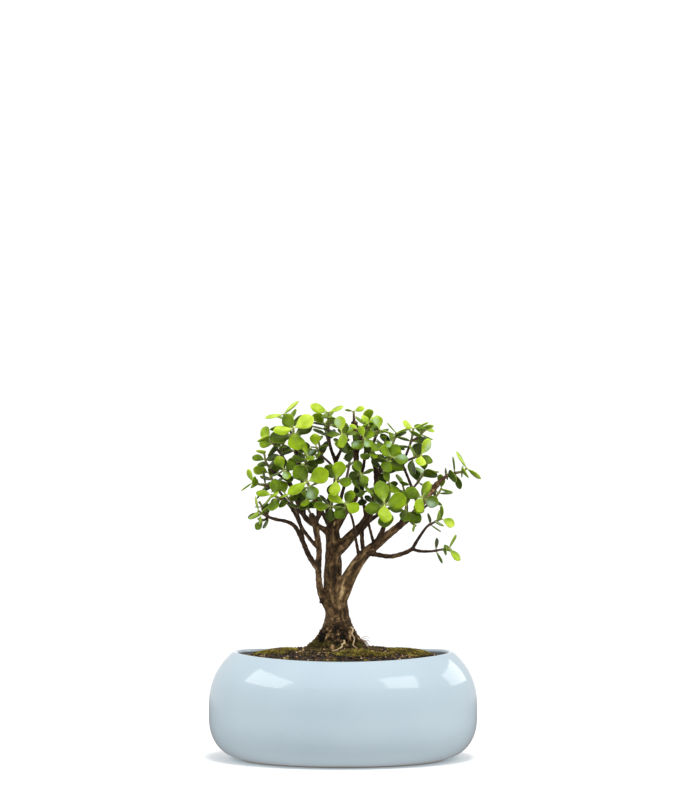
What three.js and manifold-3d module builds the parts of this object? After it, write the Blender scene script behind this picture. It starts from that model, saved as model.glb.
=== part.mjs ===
// Dwarf jade bonsai, a small Portulacaria afra tree in a squat round glazed bowl.
// Millimetres, +Z up. The origin is the middle of the bowl's flat foot, and -Y is the tree's front.
import * as THREE from "three";
import { mergeVertices } from "three/addons/utils/BufferGeometryUtils.js";
import Module from "manifold-3d";

const wasm = await Module();
wasm.setup();

// Bowl
const BOWL_RADIUS = 100; // at its widest
const WIDEST_Z = 34;
const FOOT_RADIUS = 66;
const LIP_Z = 80; // top of the lip at the left and right
const LIP_RADIUS = 82;
const LIP_DIP = 4.8; // how much lower the lip would run 100 mm to the front or back
const DIP_FROM_Z = 58; // the walls below this stay level
const WALL = 6;
const FLOOR_Z = 7;
const LOWER_BULGE = 2.5; // exponent of the curve from foot to widest
const UPPER_BULGE = 2.9; // exponent of the curve from widest to lip
const TURNS = 28; // sides of the bowl and the soil
const OUTER_STEPS = [4, 15, WIDEST_Z, 50, 62, 71, 76.5]; // heights of the outside's rings
const INNER_STEPS = [18, 40, 60, 73]; // and of the inside's
const LIP_STEPS = [[1.2, -0.9], [-1.4, 0], [-3.6, -1.6]]; // the lip, out from LIP_RADIUS and up from LIP_Z
const DRAIN_RADIUS = 4;
const DRAIN_CIRCLE = 30;
const DRAIN_SIDES = 12;
const DRAINS = 3;

// Soil and moss
const SEAT_GAP = 0.3; // between pieces that rest on each other
const SOIL_EDGE_Z = 74.5;
const SOIL_CROWN_Z = 82.9;
const SOIL_RADIUS = 78; // radius at which the mound has come down to its edge height
const SOIL_BREAK = 56; // radius of the ring between the mound's edge and its crown
const MOSS_SIDES = 12;
const MOSS_RINGS = 3;
const MOSS_LOBES = [[3, 0.1], [5, 0.06]]; // how many lobes a cushion's edge has, and how deep they are
const MOSS_KNOBS = 0.22; // height of the knobs on a cushion, of its own height
const MOSS_KNOB_WAVES = [0.55, 0.6]; // radians a millimetre along x and y

// Trunk
const TRUNK_SIDES = 13;
const ROOT_LOBES = 5;
const LOBE_DEPTH = 0.1; // of the radius, where the root flare meets the soil
const LOBE_TURN = 2.4; // where round the trunk the lobes lie, in radians
const FLARE_SKEW = 0.05;
const SKEW_TURN = -0.8;
const FLARE_TOP_Z = 104; // the lobes fade out over this height
const FLARE_FADE = 22;
const KNOBS = [[3, 0.05, 0.35], [4, 0.03, -0.22]]; // waves round the trunk, depth, radians a millimetre up
const ROOT_TOP_Z = 82.3; // where the root flare is widest, level with the soil
const HOLE_GAP = 0.45; // between the root flare and the soil round it
const HOLE_HEADROOM = 10; // how far the hole's cutter stands out of the soil
const THICK_LIMB = 4; // a limb this thick has 8 sides
const MIDDLING_LIMB = 2.3; // and one this thick has 6

// Twigs and shoots
const TWIG_TIP_RADIUS = 0.75;
const TWIG_SIDES = 3;
const STEM_SIDES = 3; // of a shoot's green stem
const CURVE_STEPS = 8; // samples of a path between two of its points
const PAIR_GAP = 4.6; // between the last two pairs of leaves on a shoot
const PAIR_GAP_GROWTH = 0.7; // each gap further back is this much longer
const TIP_PAIR_BACK = 0.4; // from the tip back to the last pair
const FIRST_PAIR_AFTER = 1.5; // no pair grows nearer than this to the bare wood
const BARE_STEP = 22; // between sections of a bare twig
const SIDE_OPEN = 48; // between a shoot and the side shoots in its leaves' axils, in degrees
const SIDE_REACH = 0.9; // length of a side shoot, of the shoot's largest leaf
const SIDE_LEAF = 0.82; // its largest leaf, of the same
const SIDE_OUT = 0.9; // how much of that its tip goes straight out
const SIDE_LIFT = 0.3; // and how much it turns to the light
const SIDE_PAIRS = 2;

// Leaves
const LEAF_WIDTH = 0.76; // of its length
const LEAF_TAPER = 1.5; // exponent that carries a leaf's widest place past its middle
const LEAF_FULLNESS = 0.7; // exponent of its outline, lower for a rounder leaf
const LEAF_THICKNESS = 0.13; // of its length
const LEAF_WIDEST = 0.57; // where along the blade its ridge and keel are thickest
const LEAF_SINK = 0.4; // how far back its root is sunk from where it starts, of the twig's radius
const LEAF_ROOT = 0.5; // half the height of its root, of the twig's radius
const LARGE_LEAF = 15; // from this length on, the outline has more corners
const LARGE_OUTLINE = [0.28, 0.6, 0.87];
const SMALL_OUTLINE = [0.42, 0.82];
const SHORTEST = 0.8; // of the shoot's largest leaf
const LENGTH_SPREAD = 0.24;
const MOST_OPEN = 82; // between a leaf and its twig, in degrees
const OPEN_GROWTH = 7; // how much wider each pair further back stands
const OPEN_SPREAD = 10; // range by chance of that angle
const ANGLE_SPREAD = 16; // and of the angle round the twig
const LEAF_ROLL = 38; // most that a blade is rolled about its midrib by chance, in degrees
const LEAF_SEED = 41;
const SLIVER = 0.5; // crossings' slivers finer than this are merged

// Light. A blade turns its face to it.
const LIGHT_PULL = 0.95; // how far a blade twists to the light, against facing along its twig
const LIGHT_REACH = 120; // a leaf this far to the side looks as far sideways as outside the crown
const LIGHT_UP = 0.7;
const FACING = 0.15; // how far an ordinary leaf looks to the front, against up
const BACK_Y = 15; // leaves behind this look to the back
const BACK_FACING = 0.4;

// Clearance. A leaf grows only where it keeps clear of all wood and of every leaf before it.
const PROBES = [
  [0.25, 0], [0.5, 0], [0.75, 0], [1, 0], [0.4, 0.9], [0.4, -0.9], [0.65, 0.9], [0.65, -0.9],
  [0.88, 0.9], [0.88, -0.9],
]; // places on a blade, as shares of its length and half-width
const LENS_CLEAR = 2.1; // half the clear height over and under a blade
const LENS_MARGIN = 0.9; // clear round its edge
const TWIG_CLEAR = 2.3;
const FAR_APART = 2; // leaves whose roots lie further apart than their lengths and this can't meet
const GIVES = [0, 12, -12, 24, -24, 38, -38]; // turns about the twig that a crowded leaf may take, in degrees
const SIZES = [1, 0.86, 0.72]; // or how much smaller it may grow

const GLAZE = { color: 0xc3d6e2, roughness: 0.12, metalness: 0 };
const EARTH = { color: 0x2e2016, roughness: 1, metalness: 0 };
const MOSS = { color: 0x6b6a1e, roughness: 1, metalness: 0 };
const BARK = { color: 0x584636, roughness: 0.9, metalness: 0 };
const FOLIAGE = { color: 0x7fa32e, roughness: 0.4, metalness: 0 };

// Bare wood. Each limb is a list of points, x, y, z and the wood's radius there.
// A limb starts inside the wood that carries it.
const TRUNK = [
  [-1.5, 0, 52, 13],
  [-1.5, 0, 66, 18],
  [-2, 0, 76, 19.6],
  [-3, 0, ROOT_TOP_Z, 20.2],
  [-3.4, 0, 84.6, 18.6],
  [-3.8, 0, 88.5, 16.8],
  [-3.2, 0, 94.4, 14],
  [-3.6, 0, 101.5, 10.7],
  [-4.8, 0, 107.5, 8.8],
  [-5.5, 0, 116.5, 9],
  [-6.5, 0.5, 124, 8.8],
  [-7.4, 1, 133, 7],
  [-7.6, 2, 142, 6.4],
  [-7.2, 3, 154.5, 5.9],
  [-7.8, 4, 167, 5.3],
  [-7.2, 4, 177, 4.2],
];
const LIMBS = {
  right_limb: [
    [-5, -1, 114, 6.5], [-0.5, -3, 125, 6.4], [4.5, -4, 135, 5.4], [9.5, -5, 143.5, 4.8],
    [16.5, -7, 152.6, 4.1], [23.6, -8, 158.5, 3.6], [31, -9, 164.7, 3.2], [42.4, -10, 173.9, 2.6],
    [53.6, -9, 183.6, 2.2], [64.9, -6, 197.5, 2.2], [71, -4, 205.4, 2.2],
  ],
  right_middle: [
    [-6, 3, 153, 4.6], [0.4, 4, 159.3, 4.5], [7, 6, 166.5, 3.8], [15.4, 8, 174.3, 3.4],
    [20.6, 8, 184, 3], [24.4, 7, 196, 2.5], [25.1, 6, 209.5, 2.2], [22.4, 5, 227, 1.7],
  ],
  leader_left: [
    [-7.6, 4, 172, 3.8], [-10.6, 4, 184, 3], [-9, 3, 194, 2.6], [-5.4, 3, 205, 2.2],
    [-4.6, 3, 216, 1.9], [-5.6, 4, 222.3, 1.7],
  ],
  leader_right: [
    [-6, 4, 172, 3.9], [1.5, 6, 184, 3.1], [8.6, 7, 194, 2.7], [10.9, 7, 204, 2.4],
    [9.9, 6, 222, 2.1], [9.6, 6, 238, 2.3], [8.4, 5, 251, 2.5],
  ],
  left_stem: [
    [-9, -3, 110, 3.4], [-15.4, -5, 120.3, 2.7], [-17.8, -6, 131, 2.4], [-18.2, -7, 143.5, 2.2],
    [-17.8, -8, 156, 2.1], [-19.5, -9, 167.5, 2.3], [-21, -10, 176, 2.6], [-24, -11, 182.5, 2],
  ],
  left_outer: [
    [-18.2, -7, 140.5, 2.1], [-25.5, -4, 151.4, 2], [-30.4, -2, 162.6, 1.8], [-35.6, -2, 172.4, 1.6],
    [-42, -3, 176.4, 1.4], [-50.6, -5, 178, 1.2],
  ],
  left_inner: [
    [-10, 4, 168, 2.2], [-17, 5, 172, 2.1], [-26.6, 6, 177.3, 2], [-33, 5, 188.5, 1.8],
    [-37.5, 3, 199.8, 1.6], [-39.8, 2, 205.8, 1.5],
  ],
  low_branch: [
    [17, -7, 153.4, 1.9], [25.9, -9, 151.8, 1.8], [36, -10, 150.7, 1.7], [46.1, -11, 153.4, 1.6],
    [51.8, -11, 156.4, 1.5],
  ],
  right_riser: [
    [56, -9, 186.5, 1.4], [53, -8, 197, 1.2], [48, -5, 210, 1.1], [43.9, -2, 220, 1.1],
  ],
  rear_riser: [
    [15.6, -5, 152, 1.8], [14.2, -1, 162.5, 1.6], [14.6, 3, 172.3, 1.6], [17, 5, 181.5, 1.4],
  ],
  rear_thin: [[23, -7, 159.5, 1.3], [20.5, -3, 169, 1.1], [18, -1, 178.5, 1.1]],
  dead_stub: [[-15, -5, 119, 1.2], [-17.4, -6, 115.8, 0.8]],
  pruned_twig: [[-20.4, -10, 176, 1.3], [-17, -12, 181, 1.1], [-14.5, -13, 185, 0.9]],
};

// Leafy shoots. The path runs from inside the wood to the tip, and its first `bare` spans are wood.
// pairs is how many pairs of leaves grow from the tip back, leaf is the length of the largest, turn is
// the end pair's angle about the shoot and open the angle between shoot and leaf, both in degrees.
// sides is how many side shoots it has, and facing how far its end pair looks to the front.
const SHOOTS = [
  { name: "front_left", pairs: 3, leaf: 16.5, facing: 1, turn: -58, open: 80, girth: 1.5, bare: 4, path: [
    [-20, -10, 174.5], [-18.5, -13, 181], [-19, -18, 188], [-21.5, -24, 194.5], [-23.5, -31, 200],
    [-25, -38, 204], [-26, -45, 206.5]] },
  { name: "front_right", pairs: 3, leaf: 17.5, facing: 1, turn: 10, open: 80, girth: 2.2, bare: 3, path: [
    [23, -8, 158], [27, -11, 165], [30, -16, 172], [31.5, -25, 180], [31.2, -35, 186.5],
    [30.4, -45, 190.5]] },
  { name: "front_low", pairs: 2, leaf: 14, facing: 1, turn: -115, open: 76, girth: 1.2, bare: 4, path: [
    [12, -6, 149], [10.4, -10, 158.5], [9, -13, 166], [8, -17, 174], [6, -24, 181.5],
    [3, -32, 187], [1.5, -40, 190.5]] },
  { name: "centre_bright", pairs: 3, leaf: 13.5, facing: 1, turn: -14, open: 78, girth: 1.3, bare: 2, path: [
    [-7.6, 2, 198], [-7, -9, 202], [-6, -20, 205], [-5, -31, 207], [-4.9, -41, 208]] },
  { name: "upper_left_fore", pairs: 3, leaf: 18, facing: 0.9, turn: -70, open: 80, girth: 1.2, bare: 1,
    path: [[-34.4, -2, 226.5], [-35.4, -9, 234], [-36.4, -18, 241], [-36.6, -27, 245.6]] },
  { name: "top_left", pairs: 3, leaf: 16, turn: 12, open: 74, girth: 1.6, bare: 4, path: [
    [-32.4, 5, 187.5], [-30.4, 4, 197], [-30.8, 3, 208], [-33, 0, 220], [-35.4, -3, 231],
    [-38.5, -5, 242], [-41, -6, 249], [-44.4, -7, 256.6]] },
  { name: "top_centre", pairs: 4, leaf: 14.5, turn: 5, open: 72, girth: 1.4, bare: 1, path: [
    [-5.6, 4, 221.5], [-9.4, 2, 232], [-10.8, 0, 243], [-10.8, -3, 258]] },
  { name: "top_fore", pairs: 3, leaf: 13.5, facing: 0.6, turn: 5, open: 74, girth: 1.3, bare: 1, path: [
    [-5.6, 4, 221.5], [-1, -3, 231], [0.2, -12, 238], [-1, -24, 243]] },
  { name: "crown_tip", pairs: 3, leaf: 8, turn: 4, open: 74, girth: 1.2, bare: 1, path: [
    [8.4, 5, 249], [8.2, 5, 252.6], [7.9, 5, 259]] },
  { name: "top_right", pairs: 3, leaf: 13.5, sides: 1, turn: 25, open: 62, girth: 1.1, bare: 1, path: [
    [43.9, -2, 219.5], [48, -3, 228.5], [51, -5, 237.5], [52.4, -7, 246]] },
  { name: "top_right_inner", pairs: 3, leaf: 13, turn: 10, open: 62, girth: 1.4, bare: 1, path: [
    [22.4, 5, 225.5], [22.4, 4, 233], [24.4, 0, 239.5], [27.4, -4, 245]] },
  { name: "right_upper", pairs: 3, leaf: 14, turn: -30, open: 66, girth: 1.1, bare: 1, path: [
    [44.2, -2, 219], [48, -8, 222], [53, -15, 224], [58, -21, 226]] },
  { name: "right_tip", pairs: 5, leaf: 14, turn: 0, open: 80, girth: 1.6, bare: 1, path: [
    [70.6, -4, 205], [75.4, -3, 209], [80, -2, 211.6], [86, -2, 213], [89.6, -2, 213.8],
    [92.4, -2.5, 216.4]] },
  { name: "right_fore", pairs: 3, leaf: 14, facing: 0.8, turn: -20, open: 70, girth: 1.3, bare: 1, path: [
    [54.5, -9, 184.5], [57, -17, 189.5], [58.4, -26, 193], [58.6, -35, 195.5]] },
  { name: "right_fore_low", pairs: 3, leaf: 14, facing: 0.8, turn: -96, open: 76, girth: 1.3, bare: 1, path: [
    [41.5, -10, 173], [44, -19, 179.5], [46, -28, 185], [46.4, -37, 189]] },
  { name: "low_up", pairs: 3, leaf: 11.5, turn: 35, open: 58, girth: 1.3, bare: 2, path: [
    [51.2, -11, 156], [56, -12, 164], [62, -13, 172.5], [67.5, -14, 176], [73.5, -16, 179]] },
  { name: "low_right", pairs: 3, leaf: 11.5, turn: 8, open: 58, girth: 1.2, bare: 2, path: [
    [51.2, -11, 156], [58, -11, 154.5], [66, -12, 154.6], [73, -13, 155.8], [79, -14, 156.6]] },
  { name: "limb_spur", pairs: 1, leaf: 8.5, turn: 90, open: 62, girth: 0.9, bare: 1, path: [
    [48.4, -10, 178.6], [51, -12.5, 175.6], [54, -15, 173.4]] },
  { name: "left_upper", pairs: 4, leaf: 13, sides: 1, turn: 35, open: 56, girth: 1.2, bare: 2, path: [
    [-39.8, 2, 205.3], [-41, 0, 214], [-43.5, -3, 222.6], [-48.5, -6, 229.5], [-54.5, -9, 238]] },
  { name: "left_middle", pairs: 3, leaf: 12, turn: 78, open: 58, girth: 1.1, bare: 2, path: [
    [-39.6, 2, 205], [-46, -1, 210], [-52.5, -5, 214], [-57, -9, 220.5], [-58.6, -11, 227]] },
  { name: "left_long", pairs: 4, leaf: 12.5, turn: 4, open: 56, girth: 1.1, bare: 2, path: [
    [-39.6, 2, 204.6], [-43.5, 0, 203], [-49, -3, 202], [-55, -5, 202.6], [-61, -6, 203.8],
    [-67.5, -6, 205.8]] },
  { name: "left_low", pairs: 4, leaf: 12.5, sides: 2, turn: 25, open: 62, girth: 1.3, bare: 1, path: [
    [-49.5, -5, 178], [-53, -7, 179], [-57.5, -10, 181], [-63, -14, 184.6]] },
  { name: "left_low_inner", pairs: 3, leaf: 13, turn: 88, open: 62, girth: 1.5, bare: 4, path: [
    [-17.9, -8, 156], [-24.5, -7, 163.5], [-31, -5, 172.5], [-36, -8, 182.5], [-41, -13, 190],
    [-47, -18, 194], [-53, -23, 196.5]] },
  { name: "left_fore", pairs: 3, leaf: 12, turn: 20, open: 62, girth: 1.1, bare: 1, path: [
    [-30.6, 3, 206], [-29, -6, 213.5], [-27.5, -15, 219.5], [-26.5, -22, 226]] },
  { name: "crown_right", pairs: 3, leaf: 10.5, sides: 2, turn: 30, open: 60, girth: 1.4, bare: 2, path: [
    [11, 7, 203], [15.2, 10, 217], [17, 9, 232], [19, 5, 240.5], [19.4, 0, 248]] },
  { name: "middle_fore", pairs: 3, leaf: 11, sides: 1, turn: 40, open: 66, girth: 1, bare: 1, path: [
    [9.8, 6, 228], [12.4, -3, 232.5], [14.4, -12, 236], [15.4, -21, 238.5]] },
  { name: "middle_right_fore", pairs: 3, leaf: 12.5, sides: 1, turn: 60, open: 66, girth: 1.1, bare: 1,
    path: [[25.1, 6, 208], [29, -2, 215], [32.6, -11, 220.6], [36, -20, 224.6]] },
  { name: "middle_low_fore", pairs: 3, leaf: 11.5, turn: 15, open: 68, girth: 1, bare: 1, path: [
    [10.9, 6, 203.5], [12.4, -4, 207.5], [13, -14, 210.5], [13, -24, 212.5]] },
  { name: "right_inner", pairs: 3, leaf: 11.5, turn: 45, open: 58, girth: 1.1, bare: 1, path: [
    [46, -10, 177], [47.6, -5, 186], [46.6, -6, 195], [44.4, -10, 203.5]] },
  { name: "left_inner_spur", pairs: 3, leaf: 10.5, turn: 30, open: 62, girth: 1, bare: 1, path: [
    [-28.5, 6, 180], [-28.6, -1, 186], [-27.6, -8, 191], [-27, -15, 194]] },
  { name: "core_low", pairs: 3, leaf: 13, turn: 84, open: 74, girth: 1.1, bare: 1, path: [
    [-10.4, 4, 184.5], [-10, -6, 186.5], [-9.4, -16, 188], [-9, -25, 188.4]] },
  { name: "core_left", pairs: 3, leaf: 10.5, sides: 2, turn: 20, open: 60, girth: 1, bare: 1, path: [
    [-4.7, 3, 214], [-10.5, -2, 220.5], [-16.4, -7, 226], [-20, -12, 232]] },
  { name: "middle_inner", pairs: 3, leaf: 11.5, turn: 20, open: 66, girth: 1, bare: 1, path: [
    [24.4, 7, 196], [28.6, 0, 200.6], [32, -7, 203.4], [34.6, -14, 205]] },
  { name: "core_upper", pairs: 3, leaf: 10.5, sides: 1, turn: 65, open: 62, girth: 1, bare: 1, path: [
    [-5.6, 4, 219.5], [-1.6, 4, 229], [0.6, 2, 236], [1, -2, 243.6]] },
  { name: "left_middle_fore", pairs: 3, leaf: 11.5, turn: 30, open: 66, girth: 1, bare: 1, path: [
    [-39.6, 2, 204.8], [-42, -6, 210], [-43.4, -14, 213.6], [-43.6, -22, 215.6]] },
  { name: "core_high", pairs: 3, leaf: 9.5, sides: 1, turn: 50, open: 64, girth: 1, bare: 1, path: [
    [9.6, 6, 234], [14, 9, 240], [16.4, 12, 245], [17, 14, 250.6]] },
  { name: "inner_right_high", pairs: 3, leaf: 10.5, sides: 1, turn: 10, open: 64, girth: 1, bare: 1, path: [
    [23.4, 5.6, 220], [29, 8, 225], [33.6, 9, 229.6], [38, 8, 234]] },
  { name: "left_upright", pairs: 3, leaf: 11.5, turn: 50, open: 62, girth: 1.4, bare: 2, path: [
    [-30, -2, 164], [-31.6, -6, 174], [-34, -11, 183], [-38, -15, 190.6], [-43, -20, 197]] },
  { name: "core_riser", pairs: 3, leaf: 11, turn: 15, open: 62, girth: 1.4, bare: 1, path: [
    [17, 5, 180.5], [15.4, -2, 189], [13.6, -9, 195.6], [13, -16, 200]] },
  { name: "core_thin", pairs: 3, leaf: 11, turn: 80, open: 64, girth: 1.1, bare: 1, path: [
    [18, -1, 177.5], [21, -8, 185], [23, -15, 191], [24, -22, 196]] },
  { name: "upper_inner", pairs: 3, leaf: 10.5, turn: 35, open: 62, girth: 1, bare: 1, path: [
    [23.6, 5.6, 218], [22, -3, 223], [21, -10, 226], [21.4, -16, 229.4]] },
  { name: "back_left", pairs: 3, leaf: 14, turn: 30, open: 60, girth: 1.8, bare: 3, path: [
    [-8, 5, 168], [-14, 15, 180], [-20, 24, 191], [-25.6, 32, 202], [-30, 38, 212],
    [-33, 42, 221]] },
  { name: "back_middle", pairs: 3, leaf: 14, turn: 10, open: 60, girth: 1.7, bare: 3, path: [
    [-7, 5, 174], [-3.6, 15, 186], [-0.4, 25, 198], [2.6, 34, 209], [4.6, 41, 219],
    [5, 45, 229]] },
  { name: "back_right", pairs: 3, leaf: 14, turn: 50, open: 60, girth: 1.7, bare: 3, path: [
    [10, 7, 169], [17, 16, 180], [24, 25, 190], [30, 32, 201], [34, 38, 211], [37, 42, 220]] },
  { name: "back_far_right", pairs: 3, leaf: 14, turn: 20, open: 60, girth: 1.5, bare: 3, path: [
    [15.4, 8, 174.5], [27, 14, 181.5], [38.6, 19, 188.5], [48, 22, 196.5], [56, 25, 205],
    [62, 27, 214]] },
  { name: "back_far_left", pairs: 3, leaf: 14, turn: 60, open: 60, girth: 1.5, bare: 3, path: [
    [-22, 5.6, 174.8], [-30, 12, 181.5], [-39, 17, 188], [-46, 21, 196], [-52, 24, 205],
    [-56, 26, 213]] },
  { name: "back_upper_left", pairs: 3, leaf: 12.5, turn: 0, open: 58, girth: 1.1, bare: 1, path: [
    [-30.6, 3.4, 205], [-33, 11, 216], [-36, 17, 227], [-38, 21, 238]] },
  { name: "back_top_left", pairs: 3, leaf: 12.5, turn: 45, open: 56, girth: 1.1, bare: 1, path: [
    [-4.6, 3, 216], [-8.4, 12, 228], [-12, 18, 239], [-14, 21, 250]] },
  { name: "back_top_right", pairs: 3, leaf: 12.5, turn: 75, open: 56, girth: 1.1, bare: 1, path: [
    [9.8, 6, 224], [13, 14, 234], [17, 20, 243], [20, 23, 252]] },
  { name: "back_right_top", pairs: 3, leaf: 12.5, turn: 15, open: 58, girth: 1.1, bare: 1, path: [
    [25, 6, 211], [31, 12, 222], [36.6, 16, 232], [40, 18, 243]] },
  { name: "back_low_right", pairs: 3, leaf: 13, turn: 30, open: 62, girth: 1.4, bare: 2, path: [
    [12, 7, 171], [18.6, 21, 175], [25, 34, 180], [29.4, 44, 187], [32, 50, 195]] },
  { name: "back_low_left", pairs: 3, leaf: 13, turn: 60, open: 62, girth: 1.4, bare: 2, path: [
    [-8, 4, 162], [-14.4, 18, 169], [-20.6, 31, 176], [-26, 42, 184], [-29, 49, 193]] },
  { name: "right_back_low", pairs: 3, leaf: 12.5, turn: 20, open: 60, girth: 1.2, bare: 2, path: [
    [47, -9, 178], [55, 0, 183], [62.4, 7, 188], [69, 12, 194], [74, 16, 201]] },
];

// Moss cushions on the soil: centre, half-lengths along and across, height and turn in degrees.
const CUSHIONS = {
  moss_right: { at: [50, -8], half: [24, 14], height: 1.6, turn: 66 },
  moss_left: { at: [-50, -4], half: [22, 14], height: 1.4, turn: -58 },
  moss_front: { at: [13, -40], half: [21, 9], height: 1.6, turn: 4 },
  moss_back: { at: [-6, 50], half: [30, 14], height: 1.6, turn: -6 },
};

const tree = new THREE.Group();

function addNode(name, geometry, look) {
  geometry.computeVertexNormals();
  const mesh = new THREE.Mesh(geometry, new THREE.MeshStandardMaterial(look));
  mesh.name = name;
  tree.add(mesh);
}

// Solids: closed geometry that can be joined and cut
function solidOf(geometry) {
  const bare = geometry.clone();
  bare.deleteAttribute("normal");
  bare.deleteAttribute("uv");
  const merged = mergeVertices(bare, 1e-4);
  return new wasm.Manifold(
    new wasm.Mesh({
      numProp: 3,
      vertProperties: new Float32Array(merged.attributes.position.array),
      triVerts: new Uint32Array(merged.index.array),
    }),
  );
}

function geometryOf(solid) {
  const mesh = solid.getMesh();
  return indexed(Array.from(mesh.vertProperties), Array.from(mesh.triVerts));
}

function indexed(positions, faces) {
  const geometry = new THREE.BufferGeometry();
  geometry.setAttribute("position", new THREE.Float32BufferAttribute(positions, 3));
  geometry.setIndex(faces);
  return geometry;
}

// One body of several, without the slivers that their crossings leave.
function joined(solids) {
  return solids.reduce((whole, piece) => whole.add(piece)).simplify(SLIVER);
}

// A closed skin over rings of points, with a fan over each end.
function loft(rings) {
  const sides = rings[0].length;
  const first = rings[0].reduce((sum, p) => sum.add(p), new THREE.Vector3()).divideScalar(sides);
  const last = rings.at(-1).reduce((sum, p) => sum.add(p), new THREE.Vector3()).divideScalar(sides);
  const points = [...rings.flat(), first, last];
  const top = (rings.length - 1) * sides;
  const faces = [];
  for (let side = 0; side < sides; side++) {
    const next = (side + 1) % sides;
    for (let row = 0; row < top; row += sides) {
      faces.push(row + side, row + next, row + sides + next);
      faces.push(row + side, row + sides + next, row + sides + side);
    }
    faces.push(points.length - 2, next, side);
    faces.push(points.length - 1, top + side, top + next);
  }
  return indexed(points.flatMap((p) => p.toArray()), faces);
}

// Paths
function samplePath(points) {
  const curve = new THREE.CatmullRomCurve3(
    points.map((p) => new THREE.Vector3(p[0], p[1], p[2])), false, "catmullrom", 0.5);
  const count = (points.length - 1) * CURVE_STEPS;
  const samples = [];
  let along = 0;
  for (let i = 0; i <= count; i++) {
    const at = curve.getPoint(i / count);
    if (i > 0) along += at.distanceTo(samples.at(-1).at);
    samples.push({ at, along });
  }
  return samples;
}

function placeAt(samples, along) {
  let i = 1;
  while (i < samples.length - 1 && samples[i].along < along) i++;
  const before = samples[i - 1];
  const after = samples[i];
  const share = (along - before.along) / (after.along - before.along);
  const tangent = after.at.clone().sub(before.at).normalize();
  return { at: before.at.clone().lerp(after.at, share), tangent };
}

// Rings of a round section along stations, each { at, r } and, where it is known, the path's tangent.
// They turn with the path without twisting.
function ringsAlong(stations, sides, swell = () => 1) {
  const start = stations[1].at.clone().sub(stations[0].at).normalize();
  let across = new THREE.Vector3(1, 0, 0);
  if (Math.abs(start.x) > 0.8) across.set(0, 1, 0);
  return stations.map((station, i) => {
    const back = stations[Math.max(i - 1, 0)].at;
    const ahead = stations[Math.min(i + 1, stations.length - 1)].at;
    const tangent = station.tangent ?? ahead.clone().sub(back).normalize();
    across = across.clone().addScaledVector(tangent, -across.dot(tangent)).normalize();
    const other = tangent.clone().cross(across);
    const ring = [];
    for (let side = 0; side < sides; side++) {
      const angle = (2 * Math.PI * side) / sides;
      const reach = station.r * swell(angle, station.at.z);
      ring.push(station.at.clone()
        .addScaledVector(across, reach * Math.cos(angle))
        .addScaledVector(other, reach * Math.sin(angle)));
    }
    return ring;
  });
}

// Bowl
function outerRadius(z) {
  if (z < WIDEST_Z) {
    const share = 1 - z / WIDEST_Z;
    return FOOT_RADIUS + (BOWL_RADIUS - FOOT_RADIUS) * (1 - share ** LOWER_BULGE) ** (1 / LOWER_BULGE);
  }
  const rise = (z - WIDEST_Z) / (LIP_Z - WIDEST_Z);
  return BOWL_RADIUS - (BOWL_RADIUS - LIP_RADIUS) * rise ** UPPER_BULGE;
}

// Lowers what lies above DIP_FROM_Z, most at the front and back.
function dipLip(geometry) {
  const position = geometry.attributes.position;
  for (let i = 0; i < position.count; i++) {
    const [x, y, z] = [position.getX(i), position.getY(i), position.getZ(i)];
    position.setZ(i, z - lipDip(x, y, z));
  }
  return geometry;
}

function lipDip(x, y, z) {
  const radius = Math.hypot(x, y);
  if (z <= DIP_FROM_Z || radius === 0) return 0;
  return LIP_DIP * (y / BOWL_RADIUS) ** 2 * ((z - DIP_FROM_Z) / (LIP_Z - DIP_FROM_Z));
}

// A solid of revolution about Z from a profile of [radius, z] that starts and ends on the axis.
function turned(profile) {
  const outline = profile.map(([radius, z]) => new THREE.Vector2(radius, z));
  return dipLip(new THREE.LatheGeometry(outline, TURNS).rotateX(Math.PI / 2));
}

function bowl() {
  const outside = OUTER_STEPS.map((z) => [outerRadius(z), z]);
  const lip = LIP_STEPS.map(([out, up]) => [LIP_RADIUS + out, LIP_Z + up]);
  const inside = INNER_STEPS.map((z) => [outerRadius(z) - WALL, z]).reverse();
  const profile = [
    [0, 0], [FOOT_RADIUS, 0], ...outside, ...lip, ...inside, [FOOT_RADIUS - WALL, FLOOR_Z], [0, FLOOR_Z],
  ];
  let body = solidOf(turned(profile));
  for (let i = 0; i < DRAINS; i++) {
    const angle = Math.PI / 2 + (2 * Math.PI * i) / DRAINS;
    const drill = new THREE.CylinderGeometry(DRAIN_RADIUS, DRAIN_RADIUS, 3 * FLOOR_Z, DRAIN_SIDES);
    drill.rotateX(Math.PI / 2);
    drill.translate(DRAIN_CIRCLE * Math.cos(angle), DRAIN_CIRCLE * Math.sin(angle), FLOOR_Z / 2);
    body = body.subtract(solidOf(drill));
  }
  return geometryOf(body);
}

// Soil
function moundHeight(radius) {
  return SOIL_EDGE_Z + (SOIL_CROWN_Z - SOIL_EDGE_Z) * (1 - (radius / SOIL_RADIUS) ** 2);
}

function soilHeight(x, y) {
  const z = moundHeight(Math.hypot(x, y));
  return z - lipDip(x, y, z);
}

function soil() {
  const side = INNER_STEPS.map((z) => [outerRadius(z) - WALL - SEAT_GAP, z]);
  const edge = outerRadius(SOIL_EDGE_Z) - WALL - 2 * SEAT_GAP;
  const top = [edge, SOIL_BREAK].map((radius) => [radius, moundHeight(radius)]);
  const profile = [
    [0, FLOOR_Z + SEAT_GAP], [FOOT_RADIUS - WALL - 2 * SEAT_GAP, FLOOR_Z + SEAT_GAP],
    ...side, ...top, [0, SOIL_CROWN_Z],
  ];
  return geometryOf(solidOf(turned(profile)).subtract(solidOf(rootHole())));
}

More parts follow.
